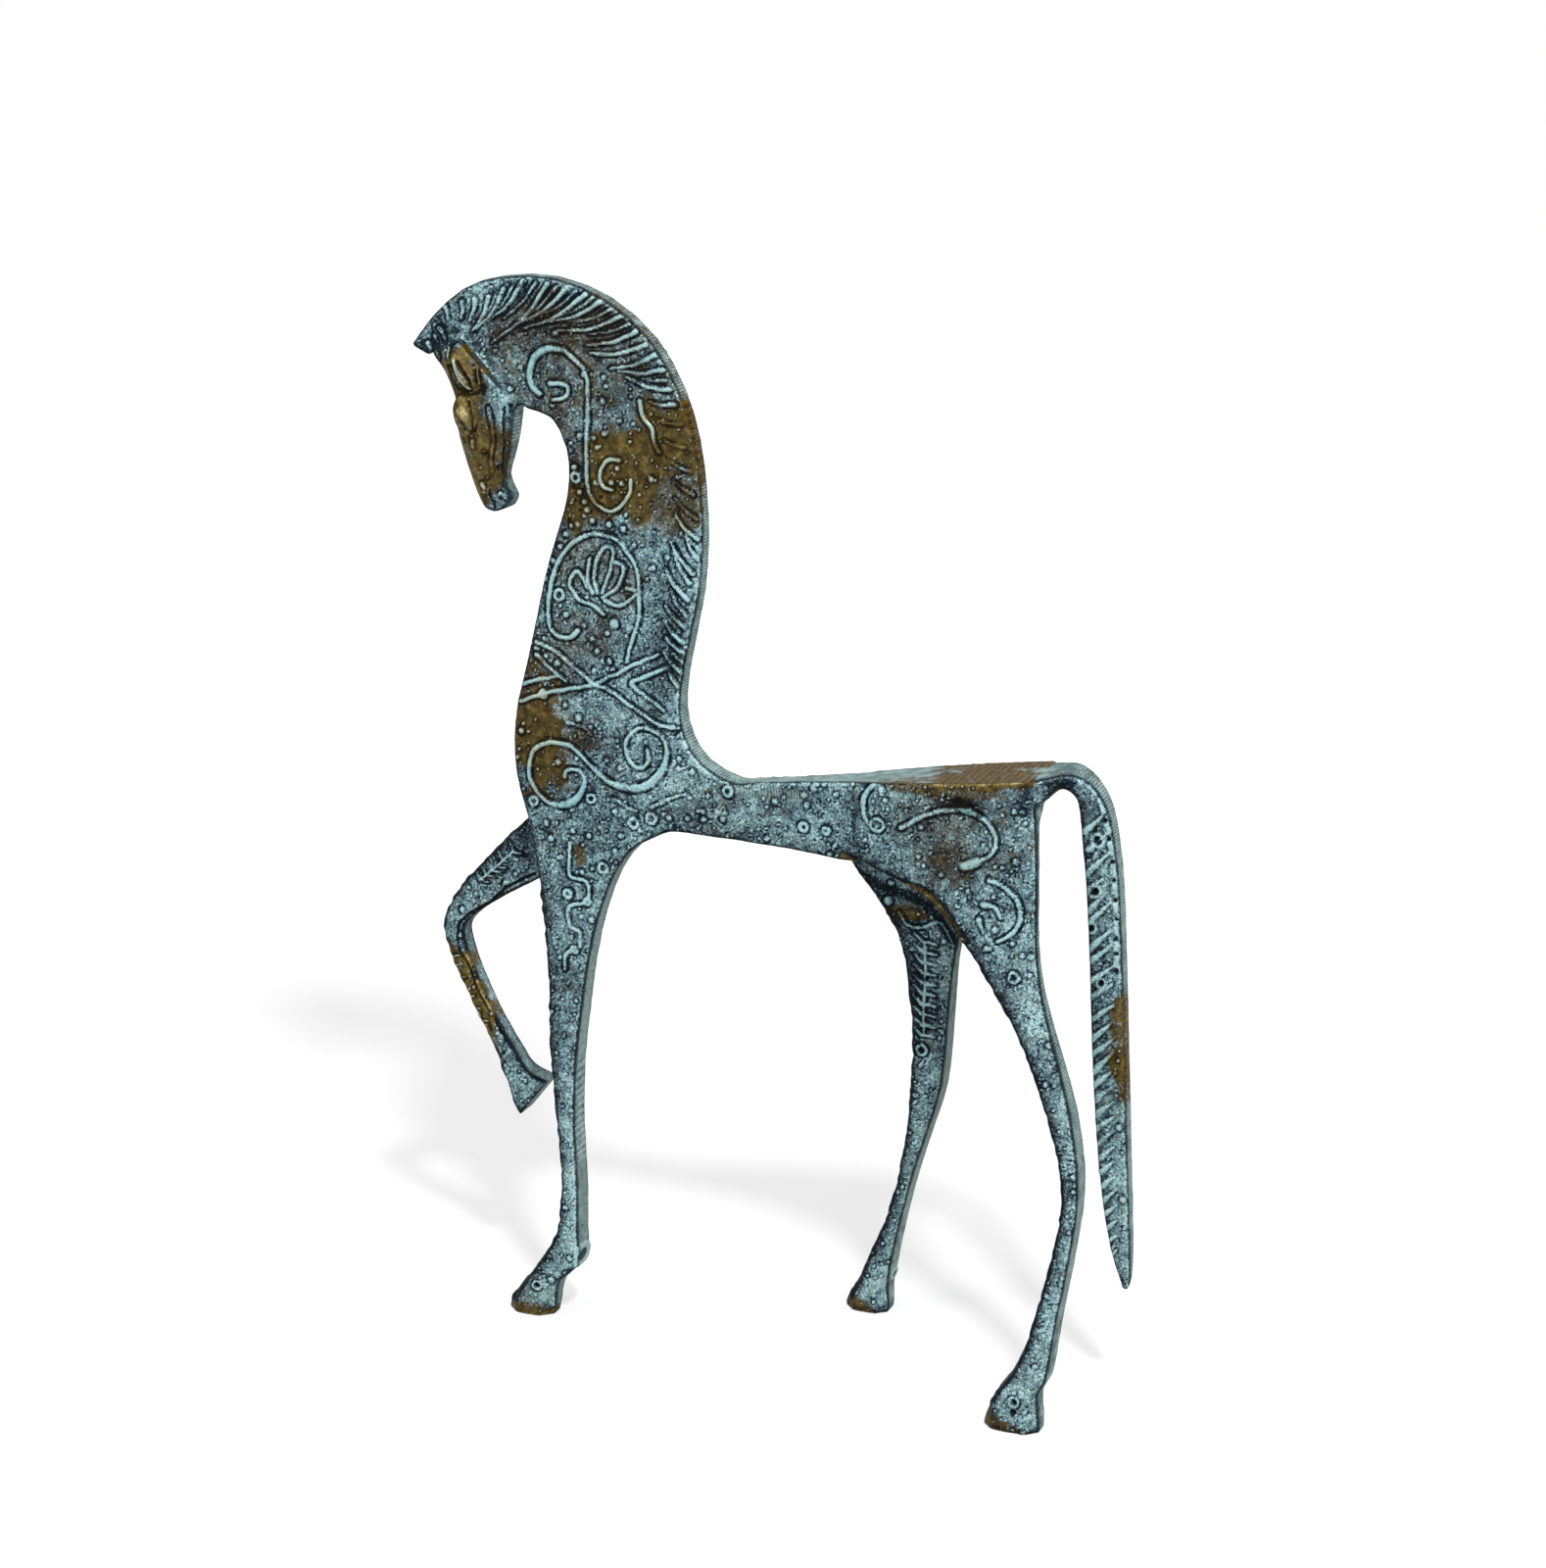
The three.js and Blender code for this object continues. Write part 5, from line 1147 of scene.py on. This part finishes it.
def close_seams(mesh):
    """Caps where the piece was cut off, with crisp rims."""
    shell = bmesh.new()
    shell.from_mesh(mesh)
    for face in shell.faces:
        face.smooth = True
    rims = [edge for edge in shell.edges if edge.is_boundary]
    for edge in rims:
        edge.smooth = False
    caps = bmesh.ops.holes_fill(shell, edges=rims, sides=0)["faces"]
    if caps:
        bmesh.ops.triangulate(shell, faces=caps)
    shell.to_mesh(mesh)
    shell.free()


patina_material = cast_bronze("patinated_bronze")
for number, name in enumerate(CASTINGS):
    piece = piece_of(number, name + "_skin")
    piece.data.materials.append(patina_material)
    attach(piece, "root")
    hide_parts(name)

pin_material = plain_bronze("pin_bronze")
for name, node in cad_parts.items():
    if name not in CASTINGS:
        node.data.materials.clear()
        node.data.materials.append(pin_material)

# The floor, the light and the white surroundings

FLOOR = 3.0  # metres, half of its length
FLOOR_FADES = (0.3, 0.8)  # metres from the middle
FLOOR_GLOWS = (0.6, 1.0)  # what the floor shows of white by itself, under the horse and far away
SKY_GLOWS = (0.45, 1.0)  # how white the surroundings are as a light, and to look at
WHITE = (1, 1, 1, 1)
MIDDLE = (0, 0, 0.15)  # of the horse, in metres


def white_ray(s):
    """1 for the rays that show the surroundings themselves."""
    path = s.node("ShaderNodeLightPath").outputs
    seen = s.math("MAXIMUM", path["Is Camera Ray"], path["Is Glossy Ray"])
    return s.math("MAXIMUM", seen, path["Is Transmission Ray"])


def floor_white():
    s = Shader("floor_white")
    away = s.node("ShaderNodeVectorMath", {0: s.place}, operation="LENGTH").outputs["Value"]
    s.inputs["Base Color"].default_value = srgb("#B4B4B4")
    s.inputs["Roughness"].default_value = 0.9
    s.inputs["Specular IOR Level"].default_value = 0
    s.inputs["Emission Color"].default_value = WHITE
    glow = s.band(away, *FLOOR_FADES, *FLOOR_GLOWS)
    s.set(s.inputs["Emission Strength"], s.times(white_ray(s), glow))
    return s.material


floor_mesh = bpy.data.meshes.new("floor")
floor_corners = [(x * FLOOR, y * FLOOR, 0) for x, y in ((-1, -1), (1, -1), (1, 1), (-1, 1))]
floor_mesh.from_pydata(floor_corners, [], [(0, 1, 2, 3)])
floor_mesh.materials.append(floor_white())
floor = linked("floor", floor_mesh)

world = bpy.data.worlds.new("studio")
bpy.context.scene.world = world
sky = Nodes(world)
background = sky.tree.nodes["Background"].inputs
background["Color"].default_value = WHITE
sky.set(background["Strength"], sky.band(white_ray(sky), 0, 1, *SKY_GLOWS))


def lamp(name, place, size, watts):
    """A round lamp that shines at the middle of the horse, its place and size in metres."""
    data = bpy.data.lights.new(name, "AREA")
    data.shape = "DISK"
    data.size = size
    data.energy = watts
    obj = linked(name, data)
    obj.location = place
    obj.rotation_euler = (Vector(MIDDLE) - Vector(place)).to_track_quat("-Z", "Y").to_euler()


lamp("key_light", (0.72, -0.91, 1.6), 0.2, 24)
lamp("fill_light", (-1.3, -1.1, 0.9), 0.9, 9)

bpy.context.scene.view_settings.view_transform = "Standard"
